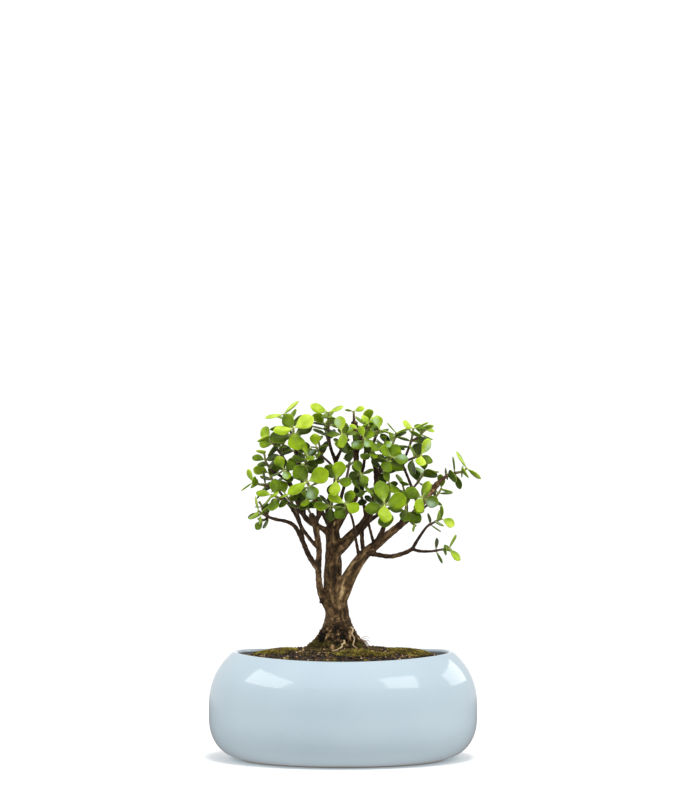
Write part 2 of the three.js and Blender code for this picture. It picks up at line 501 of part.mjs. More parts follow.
// Trunk: its lobes where the roots leave it fade upward, and shallow knobs go on up it.
function rootSwell(angle, z) {
  const fade = THREE.MathUtils.clamp((FLARE_TOP_Z - z) / FLARE_FADE, 0, 1);
  const lobes = LOBE_DEPTH * Math.cos(ROOT_LOBES * angle + LOBE_TURN);
  const skew = FLARE_SKEW * Math.cos(2 * angle + SKEW_TURN);
  let swell = 1 + fade * (lobes + skew);
  for (const [waves, depth, climb] of KNOBS) swell += depth * Math.cos(waves * angle + climb * z);
  return swell;
}

function stationsOf(points) {
  return points.map(([x, y, z, r]) => ({ at: new THREE.Vector3(x, y, z), r }));
}

// The trunk's rings stay level. The hole round it is a gap wider.
function trunkRings(points, gap = 0) {
  const upright = new THREE.Vector3(0, 0, 1);
  const stations = stationsOf(points).map(({ at, r }) => ({ at, r: r + gap, tangent: upright }));
  return ringsAlong(stations, TRUNK_SIDES, rootSwell);
}

// The hole is the buried trunk and flare, a gap wider, run on straight up through the soil's top.
function rootHole() {
  const [bottom, ...buried] = TRUNK.filter((point) => point[2] <= ROOT_TOP_Z);
  const lower = [bottom[0], bottom[1], bottom[2] - HOLE_GAP, bottom[3]];
  const rings = trunkRings([lower, ...buried], HOLE_GAP);
  const above = rings.at(-1).map((p) => new THREE.Vector3(p.x, p.y, p.z + HOLE_HEADROOM));
  return loft([...rings, above]);
}

function limb(points) {
  const thickest = Math.max(...points.map((p) => p[3]));
  const sides = thickest > THICK_LIMB ? 8 : thickest > MIDDLING_LIMB ? 6 : 5;
  return solidOf(loft(ringsAlong(stationsOf(points), sides)));
}

// A stem: its samples, where its bare wood ends, its radius at any place, and where its pairs of leaves grow.
function stem({ points, bare, girth, ...habit }) {
  const samples = samplePath(points);
  const length = samples.at(-1).along;
  const bareLength = samples[bare * CURVE_STEPS].along;
  const radiusAt = (along) => THREE.MathUtils.lerp(girth, TWIG_TIP_RADIUS, along / length);
  const pairs = [];
  let along = length - TIP_PAIR_BACK;
  for (let pair = 0; pair < habit.pairCount && along > bareLength + FIRST_PAIR_AFTER; pair++) {
    pairs.push(along);
    along -= PAIR_GAP + PAIR_GAP_GROWTH * pair;
  }
  return { ...habit, samples, length, bareLength, radiusAt, pairs };
}

// A shoot's stems: its own, then the side shoots that grow in the axils of its oldest leaves.
function stemsOf(shoot) {
  const main = stem({
    points: shoot.path, bare: shoot.bare, girth: shoot.girth, pairCount: shoot.pairs,
    leaf: shoot.leaf, turn: shoot.turn, open: shoot.open, facing: shoot.facing ?? FACING,
  });
  const stems = [main];
  for (let number = 0; number < (shoot.sides ?? 0); number++) {
    const pair = main.pairs.length - 1 - Math.floor(number / 2);
    if (pair < 0) break;
    stems.push(sideStem(shoot, main, pair, number % 2));
  }
  return stems;
}

// The first side shoot at a pair grows from the axil that has more light, the second opposite it.
function sideStem(shoot, main, pair, second) {
  const { at, tangent } = placeAt(main.samples, main.pairs[pair]);
  const light = lightAt(at, FACING);
  const out = outward(tangent, THREE.MathUtils.degToRad(shoot.turn + 90 * pair));
  if (out.dot(light) < 0 !== (second === 1)) out.negate();
  const open = THREE.MathUtils.degToRad(SIDE_OPEN);
  const heading = out.multiplyScalar(Math.sin(open)).addScaledVector(tangent, Math.cos(open)).normalize();
  const reach = SIDE_REACH * shoot.leaf;
  const middle = at.clone().addScaledVector(heading, 0.5 * reach);
  const end = at.clone().addScaledVector(heading, SIDE_OUT * reach).addScaledVector(light, SIDE_LIFT * reach);
  return stem({
    points: [at, middle, end].map((p) => p.toArray()), bare: 0, girth: main.radiusAt(main.pairs[pair]),
    pairCount: SIDE_PAIRS, leaf: SIDE_LEAF * shoot.leaf, turn: shoot.turn + 45, open: shoot.open,
    facing: FACING,
  });
}

function twig(path, places, sides) {
  const stations = places.map((along) => ({ ...placeAt(path.samples, along), r: path.radiusAt(along) }));
  return solidOf(loft(ringsAlong(stations, sides)));
}

function bareTwig(path) {
  const spans = Math.max(1, Math.round(path.bareLength / BARE_STEP));
  const places = Array.from({ length: spans + 1 }, (_, i) => (path.bareLength * i) / spans);
  return twig(path, places, TWIG_SIDES);
}

// Its sections lie at the pairs, so that the leaves' roots meet it in its middle.
function greenStem(path) {
  const start = path.bareLength > 0 ? path.bareLength + SEAT_GAP : 0;
  return twig(path, [start, ...path.pairs.slice(1).toReversed(), path.length], STEM_SIDES);
}

// Half the blade's width at a share of its length: narrow at the base, widest past the middle.
function halfWidth(share, length) {
  return 0.5 * LEAF_WIDTH * length * Math.sin(Math.PI * share ** LEAF_TAPER) ** LEAF_FULLNESS;
}

// Draws that repeat from run to run
function drawer(seed) {
  let state = seed;
  return () => {
    state = (state * 16807) % 2147483647;
    return state / 2147483647;
  };
}

// The direction square to a tangent at an angle round it, from as near upright as it can be.
function outward(tangent, angle) {
  const toward = Math.abs(tangent.z) > 0.9 ? new THREE.Vector3(1, 0, 0) : new THREE.Vector3(0, 0, 1);
  const first = toward.addScaledVector(tangent, -toward.dot(tangent)).normalize();
  const second = tangent.clone().cross(first);
  return first.multiplyScalar(Math.cos(angle)).addScaledVector(second, Math.sin(angle));
}

// Where the light comes from that a leaf at this place turns its face to: above, and outside the crown.
function lightAt(at, facing) {
  return new THREE.Vector3(at.x / LIGHT_REACH, at.y < BACK_Y ? -facing : BACK_FACING, LIGHT_UP).normalize();
}

// A leaf where it could grow: its root on the twig's axis, its midrib, its width and the way its face looks.
function leafFrame(place, radius, angle, open, roll, length, facing) {
  const out = outward(place.tangent, angle);
  const midrib = out.clone().multiplyScalar(Math.sin(open))
    .addScaledVector(place.tangent, Math.cos(open)).normalize();
  const face = place.tangent.clone().multiplyScalar(Math.sin(open))
    .addScaledVector(out, -Math.cos(open)).addScaledVector(lightAt(place.at, facing), LIGHT_PULL);
  face.addScaledVector(midrib, -face.dot(midrib)).normalize().applyAxisAngle(midrib, roll);
  const across = face.clone().cross(midrib);
  const root = place.at.clone().addScaledVector(midrib, 0.5 * radius);
  return { root, midrib, across, face, length, radius };
}

function leafPoint(leaf, along, sideways, up) {
  return leaf.root.clone()
    .addScaledVector(leaf.midrib, along)
    .addScaledVector(leaf.across, sideways)
    .addScaledVector(leaf.face, up);
}

// Clearance of blades and wood
function probesOf(leaf) {
  return PROBES.map(([share, side]) =>
    leafPoint(leaf, share * leaf.length, side * halfWidth(share, leaf.length), 0));
}

function entersLens(leaf, probes) {
  const centre = leafPoint(leaf, 0.5 * leaf.length, 0, 0);
  const halfLength = 0.5 * leaf.length + LENS_MARGIN;
  const halfBreadth = 0.5 * LEAF_WIDTH * leaf.length + LENS_MARGIN;
  return probes.some((probe) => {
    const offset = probe.clone().sub(centre);
    const u = offset.dot(leaf.midrib) / halfLength;
    const v = offset.dot(leaf.across) / halfBreadth;
    const w = offset.dot(leaf.face) / LENS_CLEAR;
    return u * u + v * v + w * w < 1;
  });
}

function nearBone(probes, bone) {
  return probes.some((probe) => {
    const span = bone.to.clone().sub(bone.from);
    const share = probe.clone().sub(bone.from).dot(span) / span.lengthSq();
    const nearest = bone.from.clone().addScaledVector(span, Math.min(1, Math.max(0, share)));
    return nearest.distanceTo(probe) < bone.r + TWIG_CLEAR;
  });
}

// Short straight pieces of all the wood, each with its owner, for keeping leaves off it.
function bonesOfWood(paths) {
  const bones = [];
  const addLine = (owner, stations) => {
    for (let i = 1; i < stations.length; i++) {
      bones.push({ owner, from: stations[i - 1].at, to: stations[i].at, r: stations[i - 1].r });
    }
  };
  for (const [name, points] of Object.entries({ trunk: TRUNK, ...LIMBS })) {
    addLine(name, stationsOf(points));
  }
  for (const [name, stems] of paths) {
    for (const path of stems) {
      const steps = path.samples.filter((_, i) => i % 2 === 0);
      addLine(name, steps.map((s) => ({ at: s.at, r: path.radiusAt(s.along) })));
    }
  }
  return bones;
}

function growLeaves(paths) {
  const draw = drawer(LEAF_SEED);
  const bones = bonesOfWood(paths);
  const grown = new Map(SHOOTS.map((shoot) => [shoot.name, []]));
  const all = [];
  const isClear = (leaf, owner) => {
    const probes = probesOf(leaf);
    if (bones.some((bone) => bone.owner !== owner && nearBone(probes, bone))) return false;
    return all.every((other) => {
      if (other.leaf.root.distanceTo(leaf.root) > other.leaf.length + leaf.length + FAR_APART) return true;
      return !entersLens(other.leaf, probes) && !entersLens(leaf, other.probes);
    });
  };
  for (const [name, stems] of paths) {
    for (const path of stems) {
      for (const pair of path.pairs.keys()) {
        for (const opposite of [0, 180]) {
          const ways = waysToGrow(path, pair, opposite, draw);
          const leaf = ways.find((way) => isClear(way, name));
          if (!leaf) continue;
          all.push({ leaf, probes: probesOf(leaf) });
          grown.get(name).push(leaf);
        }
      }
    }
  }
  return grown;
}

// The ways in which one leaf of a pair may grow, the best first. Only the end pair looks as far to the
// front as its shoot does.
function waysToGrow(path, pair, opposite, draw) {
  const place = placeAt(path.samples, path.pairs[pair]);
  const radius = path.radiusAt(path.pairs[pair]);
  const facing = pair === 0 ? path.facing : FACING;
  const spread = Math.min(MOST_OPEN, path.open + OPEN_GROWTH * pair);
  const angle = path.turn + 90 * pair + opposite + ANGLE_SPREAD * (draw() - 0.5);
  const open = THREE.MathUtils.degToRad(spread + OPEN_SPREAD * (draw() - 0.5));
  const length = path.leaf * (SHORTEST + LENGTH_SPREAD * draw());
  const roll = THREE.MathUtils.degToRad(LEAF_ROLL * (2 * draw() - 1));
  return SIZES.flatMap((size) => GIVES.map((give) => {
    const turned = THREE.MathUtils.degToRad(angle + give);
    return leafFrame(place, radius, turned, open, roll, length * size, facing);
  }));
}

// A leaf blade: a lens on an obovate outline, its base edge sunk through the twig.
function blade(leaf) {
  const { length, radius } = leaf;
  const thick = 0.5 * LEAF_THICKNESS * length;
  const sunk = -LEAF_SINK * radius;
  const points = [
    leafPoint(leaf, sunk, 0, LEAF_ROOT * radius),
    leafPoint(leaf, sunk, 0, -LEAF_ROOT * radius),
    leafPoint(leaf, LEAF_WIDEST * length, 0, thick),
    leafPoint(leaf, LEAF_WIDEST * length, 0, -thick),
  ];
  const [baseTop, baseUnder, ridge, keel] = [0, 1, 2, 3];
  const stations = length > LARGE_LEAF ? LARGE_OUTLINE : SMALL_OUTLINE;
  const right = stations.map((share) => leafPoint(leaf, share * length, halfWidth(share, length), 0));
  const left = stations.map((share) => leafPoint(leaf, share * length, -halfWidth(share, length), 0));
  const tip = leafPoint(leaf, length, 0, 0);
  const rim = [...right, tip, ...left.reverse()];
  const firstRim = points.length;
  points.push(...rim);
  const faces = [baseTop, firstRim, baseUnder, baseTop, baseUnder, points.length - 1];
  for (let i = 0; i < rim.length - 1; i++) {
    faces.push(ridge, firstRim + i + 1, firstRim + i);
    faces.push(keel, firstRim + i, firstRim + i + 1);
  }
  faces.push(ridge, firstRim, baseTop, ridge, baseTop, points.length - 1);
  faces.push(keel, baseUnder, firstRim, keel, points.length - 1, baseUnder);
  return solidOf(indexed(points.flatMap((p) => p.toArray()), faces));
}

// Moss: a low cushion whose underside follows the soil and whose top is knobbly
function cushion({ at, half, height, turn }) {
  const turned = THREE.MathUtils.degToRad(turn);
  const spot = (ring, side) => {
    const share = ring / MOSS_RINGS;
    const angle = (2 * Math.PI * side) / MOSS_SIDES;
    let wave = 1;
    MOSS_LOBES.forEach(([lobes, depth], i) => { wave += depth * Math.cos(lobes * angle + at[i]); });
    const [u, v] = [half[0] * share * wave * Math.cos(angle), half[1] * share * wave * Math.sin(angle)];
    const x = at[0] + u * Math.cos(turned) - v * Math.sin(turned);
    const y = at[1] + u * Math.sin(turned) + v * Math.cos(turned);
    const knobs = 1 + MOSS_KNOBS * Math.sin(MOSS_KNOB_WAVES[0] * x + ring) * Math.cos(MOSS_KNOB_WAVES[1] * y);
    const rise = ring === MOSS_RINGS ? 0 : height * Math.sqrt(1 - share ** 2) * knobs;
    return { x, y, under: soilHeight(x, y) + SEAT_GAP, rise };
  };
  const positions = [];
  const put = (p, rise) => {
    positions.push(p.x, p.y, p.under + rise);
    return positions.length / 3 - 1;
  };
  const centre = spot(0, 0);
  const [top, under] = [put(centre, centre.rise), put(centre, 0)];
  const grid = { top: [[]], under: [[]] };
  for (let ring = 1; ring <= MOSS_RINGS; ring++) {
    const row = Array.from({ length: MOSS_SIDES }, (_, side) => spot(ring, side));
    grid.under.push(row.map((p) => put(p, 0)));
    grid.top.push(ring < MOSS_RINGS ? row.map((p) => put(p, p.rise)) : grid.under[ring]);
  }
  const faces = [];
  for (let side = 0; side < MOSS_SIDES; side++) {
    const next = (side + 1) % MOSS_SIDES;
    faces.push(top, grid.top[1][side], grid.top[1][next]);
    faces.push(under, grid.under[1][next], grid.under[1][side]);
    for (let ring = 1; ring < MOSS_RINGS; ring++) {
      const [upIn, upOut] = [grid.top[ring], grid.top[ring + 1]];
      const [lowIn, lowOut] = [grid.under[ring], grid.under[ring + 1]];
      faces.push(upIn[side], upOut[side], upOut[next], upIn[side], upOut[next], upIn[next]);
      faces.push(lowIn[side], lowOut[next], lowOut[side], lowIn[side], lowIn[next], lowOut[next]);
    }
  }
  return indexed(positions, faces);
}

// Assembly
const paths = new Map(SHOOTS.map((shoot) => [shoot.name, stemsOf(shoot)]));
const leaves = growLeaves(paths);

const wood = [solidOf(loft(trunkRings(TRUNK)))];
for (const points of Object.values(LIMBS)) wood.push(limb(points));
for (const [main] of paths.values()) wood.push(bareTwig(main));

addNode("bowl", bowl(), GLAZE);
addNode("soil", soil(), EARTH);
for (const [name, form] of Object.entries(CUSHIONS)) addNode(name, cushion(form), MOSS);
addNode("trunk_and_branches", geometryOf(joined(wood)), BARK);
for (const [name, stems] of paths) {
  const green = [...stems.map(greenStem), ...leaves.get(name).map(blade)];
  addNode(`shoot_${name}`, geometryOf(joined(green)), FOLIAGE);
}

export default tree;
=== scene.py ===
# Dwarf jade bonsai in a squat round glazed bowl: the looks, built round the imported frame.
# Metres, +Z up. The origin is the middle of the bowl's flat foot, and -Y is the tree's front.
import math
import random

import bpy
import numpy as np
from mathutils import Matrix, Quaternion, Vector, kdtree, noise
from mathutils.bvhtree import BVHTree


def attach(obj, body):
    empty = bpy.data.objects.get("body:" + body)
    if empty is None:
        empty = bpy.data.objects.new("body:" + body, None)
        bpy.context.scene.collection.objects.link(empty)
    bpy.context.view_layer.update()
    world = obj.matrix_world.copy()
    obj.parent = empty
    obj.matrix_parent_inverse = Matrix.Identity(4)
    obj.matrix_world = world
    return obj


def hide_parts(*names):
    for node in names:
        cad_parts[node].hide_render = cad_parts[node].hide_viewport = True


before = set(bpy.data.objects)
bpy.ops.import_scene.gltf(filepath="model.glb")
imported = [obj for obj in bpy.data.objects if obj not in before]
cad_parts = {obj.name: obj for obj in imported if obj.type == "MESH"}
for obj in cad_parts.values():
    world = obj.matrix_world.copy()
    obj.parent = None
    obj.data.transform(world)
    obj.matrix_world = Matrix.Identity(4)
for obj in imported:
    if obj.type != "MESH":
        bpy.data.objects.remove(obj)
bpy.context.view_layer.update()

# Camera: from the front, about level with the crown
CAMERA_DISTANCE = 2.5
CAMERA_HEIGHT = 0.225
CAMERA_SIDE = 0.0052  # the photograph's middle lies this far right of the bowl's axis
AIM_HEIGHT = 0.267
LENS = 150.8

# Light
BACKDROP_LEVEL = 1.1
ROOM_LEVEL = 0.7  # how bright the room round the backdrop is, against it
SKY_LEVEL = 1.1  # and how bright it is overhead, against the room
UNDER_LEVEL = 0.98  # and what comes up from below, in the floor's place
UNDER_SHADE = 0.3  # the same from behind, where the bowl shades the floor
TO_BACKDROP = (0.955, 0.985)  # the direction's Y, from the room into the backdrop
TO_REAR = (0.2, 0.9)  # the direction's Y, from the light below into its shade
TO_SKY = (0.25, 0.8)  # the direction's Z, from the room up overhead
HORIZON = (-0.08, -0.026)  # the direction's Z, from the light below into the room
SOFT_BOXES = {  # direction from the bowl, distance, size, roll in degrees, level
    "soft_box_left": ((-0.769, -0.1, 0.635), 1.4, (1.0, 0.52), 3, 3.4),
    "soft_box_middle": ((0.655, -0.334, 0.677), 1.5, (0.72, 0.7), -18, 3.4),
    "soft_box_right": ((0.741, 0.57, 0.356), 1.3, (0.72, 0.39), -12, 2.0),
}
SUN_POWER = 1.45
SUN_SPREAD = math.radians(14)
SUN_FROM = (0.08, -0.5, 1.0)
LIGHT_AIM_Z = 0.07
FLOOR_HALF = 6.0
FLOOR_DROP = 0.0001  # below the bowl's foot

# Bowl
BOWL_RADIUS = 0.1
WIDEST_Z = 0.034
FOOT_RADIUS = 0.066
FOOT_EDGE = 0.003  # the flat foot's outermost strip
FOOT_BEVEL = (0.0006, 0.00025)  # in from the foot's edge, and up
BARE_BELOW_Z = 0.0006  # the foot has no glaze below this; its darker clay there also serves as a painted contact shadow
LIP_Z = 0.08
LIP_RADIUS = 0.082
LIP_DIP = 0.0048
DIP_FROM_Z = 0.058
WALL = 0.006
FLOOR_Z = 0.007
INNER_Z = (0.0725, 0.012)  # the inside's wall, from the lip down to the floor's edge
LOWER_BULGE = 2.5
UPPER_BULGE = 2.9
LIP_ROUND = 0.0023  # radius of the lip's rounding
LIP_START = 0.27  # how far under the lip's height the rounding starts, of that radius
SLOPE_STEP = 0.0001
CENTRE_RING = 0.002  # radius of the smallest ring, round the axis
BOWL_SIDES = 224
LOW_STEPS, HIGH_STEPS, LIP_STEPS, INNER_STEPS = 22, 40, 14, 24
DRAIN_RADIUS = 0.004
DRAIN_CIRCLE = 0.03
DRAINS = 3
DRILL_BELOW = 0.005

# Soil
SEAT_GAP = 0.0003
SOIL_EDGE_Z = 0.0745
SOIL_CROWN_Z = 0.0829
SOIL_RADIUS = 0.078
SOIL_SIDE_Z = (0.018, 0.03, 0.04, 0.05, 0.06, 0.067, 0.073)
SOIL_SIDES = 220
SOIL_RINGS = 80
SOIL_TONE = 0.18
CLOD_HEIGHTS = (0.0007, 0.00025)  # coarse and fine
GRAINS = 3400
GRAIN_SIZES = (0.0005, 0.0007, 0.0009, 0.0013)
GRAIN_TONES = (0.0, 0.1, 0.2, 0.3, 0.5, 0.65, 0.85)
PALE_GRAINS = 0.05  # share of the grains that are nearly white
PALE_TONE = 0.95
GRAIN_FLATNESS = 0.7
FIBRES = 260
LOOSE_REACH = 0.0745  # how far out from the axis grains and fibres lie

# Moss
MOSS_LOBES = [(3, 0.1), (5, 0.06)]  # how many lobes a cushion's edge has, and how deep they are
CUSHION_RINGS, CUSHION_SIDES = 22, 72
CUSHION_TONE = 0.32
CUSHION_EDGE = 1.04  # tufts stand out over a cushion's edge, up to this share of its half-lengths
TUFTS_PER_SQUARE_MM = 2.6
TUFT_HEIGHT = (0.0006, 0.0015)
TUFT_WIDTH = (0.00022, 0.0004)
FOOT_TUFTS = 4200
CREEPING_TUFTS = 15000  # tried, of which those in a patch of moss stay

# Root flare
ROOT_LOBES = 5
LOBE_DEPTH = 0.1  # of the radius
LOBE_TURN = 2.4  # where round the trunk the lobes lie, in radians
FLARE_SKEW = 0.05
SKEW_TURN = -0.8
FLARE_TOP_Z = 0.104  # the lobes fade out over this height
FLARE_FADE = 0.022
KNOBS = [(3, 0.05, 350), (4, 0.03, -220)]  # waves round the trunk, depth, radians a metre up
HOLE_GAP = 0.00045
HOLE_HEADROOM = 0.01
ROOT_TOP_Z = 0.0823

# Growth, the same as the solids'
TWIG_TIP_RADIUS = 0.00075
CURVE_STEPS = 8
PAIR_GAP = 0.0046
PAIR_GAP_GROWTH = 0.0007
TIP_PAIR_BACK = 0.0004
FIRST_PAIR_AFTER = 0.0015
LEAF_WIDTH = 0.76
LEAF_TAPER = 1.5
LEAF_FULLNESS = 0.7
LEAF_THICKNESS = 0.13
SHORTEST = 0.8  # of the shoot's largest leaf
LENGTH_SPREAD = 0.24
MOST_OPEN = 82  # between a leaf and its twig, in degrees
OPEN_GROWTH = 7  # how much wider each pair further back stands
OPEN_SPREAD = 10  # range by chance of that angle
ANGLE_SPREAD = 16  # and of the angle round the twig
LEAF_ROLL = 38
LIGHT_PULL = 0.95  # how far a blade twists to the light, against facing along its twig
LIGHT_REACH = 0.12  # a leaf this far to the side looks as far sideways as outside the crown
LIGHT_UP = 0.7
FACING = 0.15  # how far a leaf looks to the front
BACK_Y = 0.015  # from here on leaves look to the back
BACK_FACING = 0.4
SIDE_OPEN = math.radians(48)  # between a shoot and the side shoots in its leaves' axils
SIDE_REACH = 0.9  # length of a side shoot, of the shoot's largest leaf
SIDE_LEAF = 0.82  # its largest leaf, of the same
SIDE_OUT = 0.9  # how much of that its tip goes straight out
SIDE_LIFT = 0.3  # and how much it turns to the light
SIDE_PAIRS = 2
LEAF_SEED = 41
LENS_CLEAR = 0.0021
LENS_MARGIN = 0.0009
TWIG_CLEAR = 0.0023
REACH_MARGIN = 0.002  # leaves further apart than both lengths and this can't meet

# Fine leaves and stems
LEAF_RINGS = 13
LEAF_SIDES = 14
LEAF_FILL = 0.86  # how thick the fine leaf is, of the faceted one
SECTION_POWER = 0.85  # under 1, its section is squarer than an oval
FOOT_WIDTH = 0.55  # how wide the blade is at its foot, of its full form
BEND = (-0.03, 0.035)  # ranges by chance: along the blade,
FOLD = (0.02, 0.2)  # about the midrib,
TWIST = (-0.12, 0.12)  # and from edge to edge
RIB_HALF_WIDTH = 0.2
RIM_FROM = 0.93  # where the rim's tone starts at the tip
PAINTED_SHEEN_SHARE = 0.07  # of the leaves have a pale patch of painted sheen, a painted reflection
PAINTED_SHEEN_LEVEL = 0.75
TONE_OF_PAIR = (0.73, 0.46, 0.3, 0.22)  # from the youngest leaves, pale, to the oldest, dark; partly painted light, as the end pairs stand in the light and those further back in shade
PAINTED_LIGHT_PER_METRE = 1.2  # painted light: how much paler the leaves are up the tree, where more light falls
PAINTED_INNER_SHADE = 0.4  # painted shade: how much darker the leaves in the crown's middle are
CROWN_MIDDLE = np.array([0, 0.004, 0.208])
CROWN_REACH = np.array([0.07, 0.055, 0.055])
STEM_SIDES = 10
STEM_STEP = 0.0008
STEM_OVERLAP = 0.0008  # how far a green stem runs on into its wood
NODE_SWELL, NODE_HALF_WIDTH = 0.00022, 0.0009  # the stem's swelling where a pair grows

# Bark and roots
TRUNK_SIDES, LIMB_SIDES, TWIG_SIDES = 40, 18, 12
LIMB_STEPS = 14  # to each span
LEAST_RADIUS = 0.0006
BARK_VOXEL = 0.00062
BARK_SEED = 1  # without one, noise_vector's offsets hang on the clock
LINE_SHIFT, FIRST_SHIFT = 0.37, 0.11  # lines start this far along the grain, so that no two are alike
SCAR_GAP = 0.0052  # between the rings on thin wood
SCAR_RISE, SCAR_HALF_WIDTH = 0.16, 0.0007
SCAR_RADII = (0.0042, 0.002)  # scars come in as the wood thins over these radii
OLD_RADII = (0.0011, 0.0032)  # and the bark grows old over these
LOW_Z = (0.106, 0.09)  # the flare's rough dark bark comes in over these heights
MOST_RELIEF = 0.0028
RELIEF_OF_RADIUS = 0.17
MEAN_RELIEF = 0.52
FLARE_TUCK = 0.0013  # how far the flare's bark lies inside the wood's lines above the soil
TUCK_Z = (0.0835, 0.088)
# How much paler each lit limb is painted, painted light, or darker for leader_left, painted shade
LIMB_PAINTED_LIGHT = {"right_limb": 0.13, "left_stem": 0.07, "low_branch": 0.08, "leader_left": -0.05}
ROOT_HAIRS = 16
HAIR_STEPS = 12
HAIR_STEP = 0.0008
HAIR_Z = (0.084, 0.0895)  # heights on the flare at which they leave it
HAIR_RADIUS = (0.00016, 0.00026)
SURFACE_ROOTS = [  # angle and height of points on the flare, then x and y on the soil, and the root's radius
    ([(-1.22, 0.0895), (-1.29, 0.087), (-1.43, 0.085), (-1.47, 0.0835)],
     [(-0.0045, -0.0262), (-0.006, -0.0285), (-0.0072, -0.03), (-0.0095, -0.0308)], 0.0009),
    ([(-0.76, 0.1), (-0.72, 0.0965), (-0.8, 0.093), (-0.76, 0.0895), (-0.85, 0.086), (-0.82, 0.0825)],
     [], 0.0009),
    ([(1.7, 0.0925), (1.86, 0.089), (1.8, 0.0855), (1.95, 0.0822)], [], 0.0008),
]

# Bare wood. Each limb is a list of points, x, y, z and the wood's radius there.
TRUNK = [
    (-0.0015, 0, 0.052, 0.013), (-0.0015, 0, 0.066, 0.018), (-0.002, 0, 0.076, 0.0196),
    (-0.003, 0, 0.0823, 0.0202), (-0.0034, 0, 0.0846, 0.0186), (-0.0038, 0, 0.0885, 0.0168),
    (-0.0032, 0, 0.0944, 0.014), (-0.0036, 0, 0.1015, 0.0107), (-0.0048, 0, 0.1075, 0.0088),
    (-0.0055, 0, 0.1165, 0.009), (-0.0065, 0.0005, 0.124, 0.0088), (-0.0074, 0.001, 0.133, 0.007),
    (-0.0076, 0.002, 0.142, 0.0064), (-0.0072, 0.003, 0.1545, 0.0059), (-0.0078, 0.004, 0.167, 0.0053),
    (-0.0072, 0.004, 0.177, 0.0042),
]
LIMBS = {
    "right_limb": [
        (-0.005, -0.001, 0.114, 0.0065), (-0.0005, -0.003, 0.125, 0.0064), (0.0045, -0.004, 0.135, 0.0054),
        (0.0095, -0.005, 0.1435, 0.0048), (0.0165, -0.007, 0.1526, 0.0041), (0.0236, -0.008, 0.1585, 0.0036),
        (0.031, -0.009, 0.1647, 0.0032), (0.0424, -0.01, 0.1739, 0.0026), (0.0536, -0.009, 0.1836, 0.0022),
        (0.0649, -0.006, 0.1975, 0.0022), (0.071, -0.004, 0.2054, 0.0022)],
    "right_middle": [
        (-0.006, 0.003, 0.153, 0.0046), (0.0004, 0.004, 0.1593, 0.0045), (0.007, 0.006, 0.1665, 0.0038),
        (0.0154, 0.008, 0.1743, 0.0034), (0.0206, 0.008, 0.184, 0.003), (0.0244, 0.007, 0.196, 0.0025),
        (0.0251, 0.006, 0.2095, 0.0022), (0.0224, 0.005, 0.227, 0.0017)],
    "leader_left": [
        (-0.0076, 0.004, 0.172, 0.0038), (-0.0106, 0.004, 0.184, 0.003), (-0.009, 0.003, 0.194, 0.0026),
        (-0.0054, 0.003, 0.205, 0.0022), (-0.0046, 0.003, 0.216, 0.0019), (-0.0056, 0.004, 0.2223, 0.0017)],
    "leader_right": [
        (-0.006, 0.004, 0.172, 0.0039), (0.0015, 0.006, 0.184, 0.0031), (0.0086, 0.007, 0.194, 0.0027),
        (0.0109, 0.007, 0.204, 0.0024), (0.0099, 0.006, 0.222, 0.0021), (0.0096, 0.006, 0.238, 0.0023),
        (0.0084, 0.005, 0.251, 0.0025)],
    "left_stem": [
        (-0.009, -0.003, 0.11, 0.0034), (-0.0154, -0.005, 0.1203, 0.0027), (-0.0178, -0.006, 0.131, 0.0024),
        (-0.0182, -0.007, 0.1435, 0.0022), (-0.0178, -0.008, 0.156, 0.0021),
        (-0.0195, -0.009, 0.1675, 0.0023), (-0.021, -0.01, 0.176, 0.0026), (-0.024, -0.011, 0.1825, 0.002)],
    "left_outer": [
        (-0.0182, -0.007, 0.1405, 0.0021), (-0.0255, -0.004, 0.1514, 0.002),
        (-0.0304, -0.002, 0.1626, 0.0018), (-0.0356, -0.002, 0.1724, 0.0016),
        (-0.042, -0.003, 0.1764, 0.0014), (-0.0506, -0.005, 0.178, 0.0012)],
    "left_inner": [
        (-0.01, 0.004, 0.168, 0.0022), (-0.017, 0.005, 0.172, 0.0021), (-0.0266, 0.006, 0.1773, 0.002),
        (-0.033, 0.005, 0.1885, 0.0018), (-0.0375, 0.003, 0.1998, 0.0016), (-0.0398, 0.002, 0.2058, 0.0015)],
    "low_branch": [
        (0.017, -0.007, 0.1534, 0.0019), (0.0259, -0.009, 0.1518, 0.0018), (0.036, -0.01, 0.1507, 0.0017),
        (0.0461, -0.011, 0.1534, 0.0016), (0.0518, -0.011, 0.1564, 0.0015)],
    "right_riser": [
        (0.056, -0.009, 0.1865, 0.0014), (0.053, -0.008, 0.197, 0.0012), (0.048, -0.005, 0.21, 0.0011),
        (0.0439, -0.002, 0.22, 0.0011)],
    "rear_riser": [
        (0.0156, -0.005, 0.152, 0.0018), (0.0142, -0.001, 0.1625, 0.0016), (0.0146, 0.003, 0.1723, 0.0016),
        (0.017, 0.005, 0.1815, 0.0014)],
    "rear_thin": [
        (0.023, -0.007, 0.1595, 0.0013), (0.0205, -0.003, 0.169, 0.0011), (0.018, -0.001, 0.1785, 0.0011)],
    "dead_stub": [
        (-0.015, -0.005, 0.119, 0.0012), (-0.0174, -0.006, 0.1158, 0.0008)],
    "pruned_twig": [
        (-0.0204, -0.01, 0.176, 0.0013), (-0.017, -0.012, 0.181, 0.0011), (-0.0145, -0.013, 0.185, 0.0009)],
}

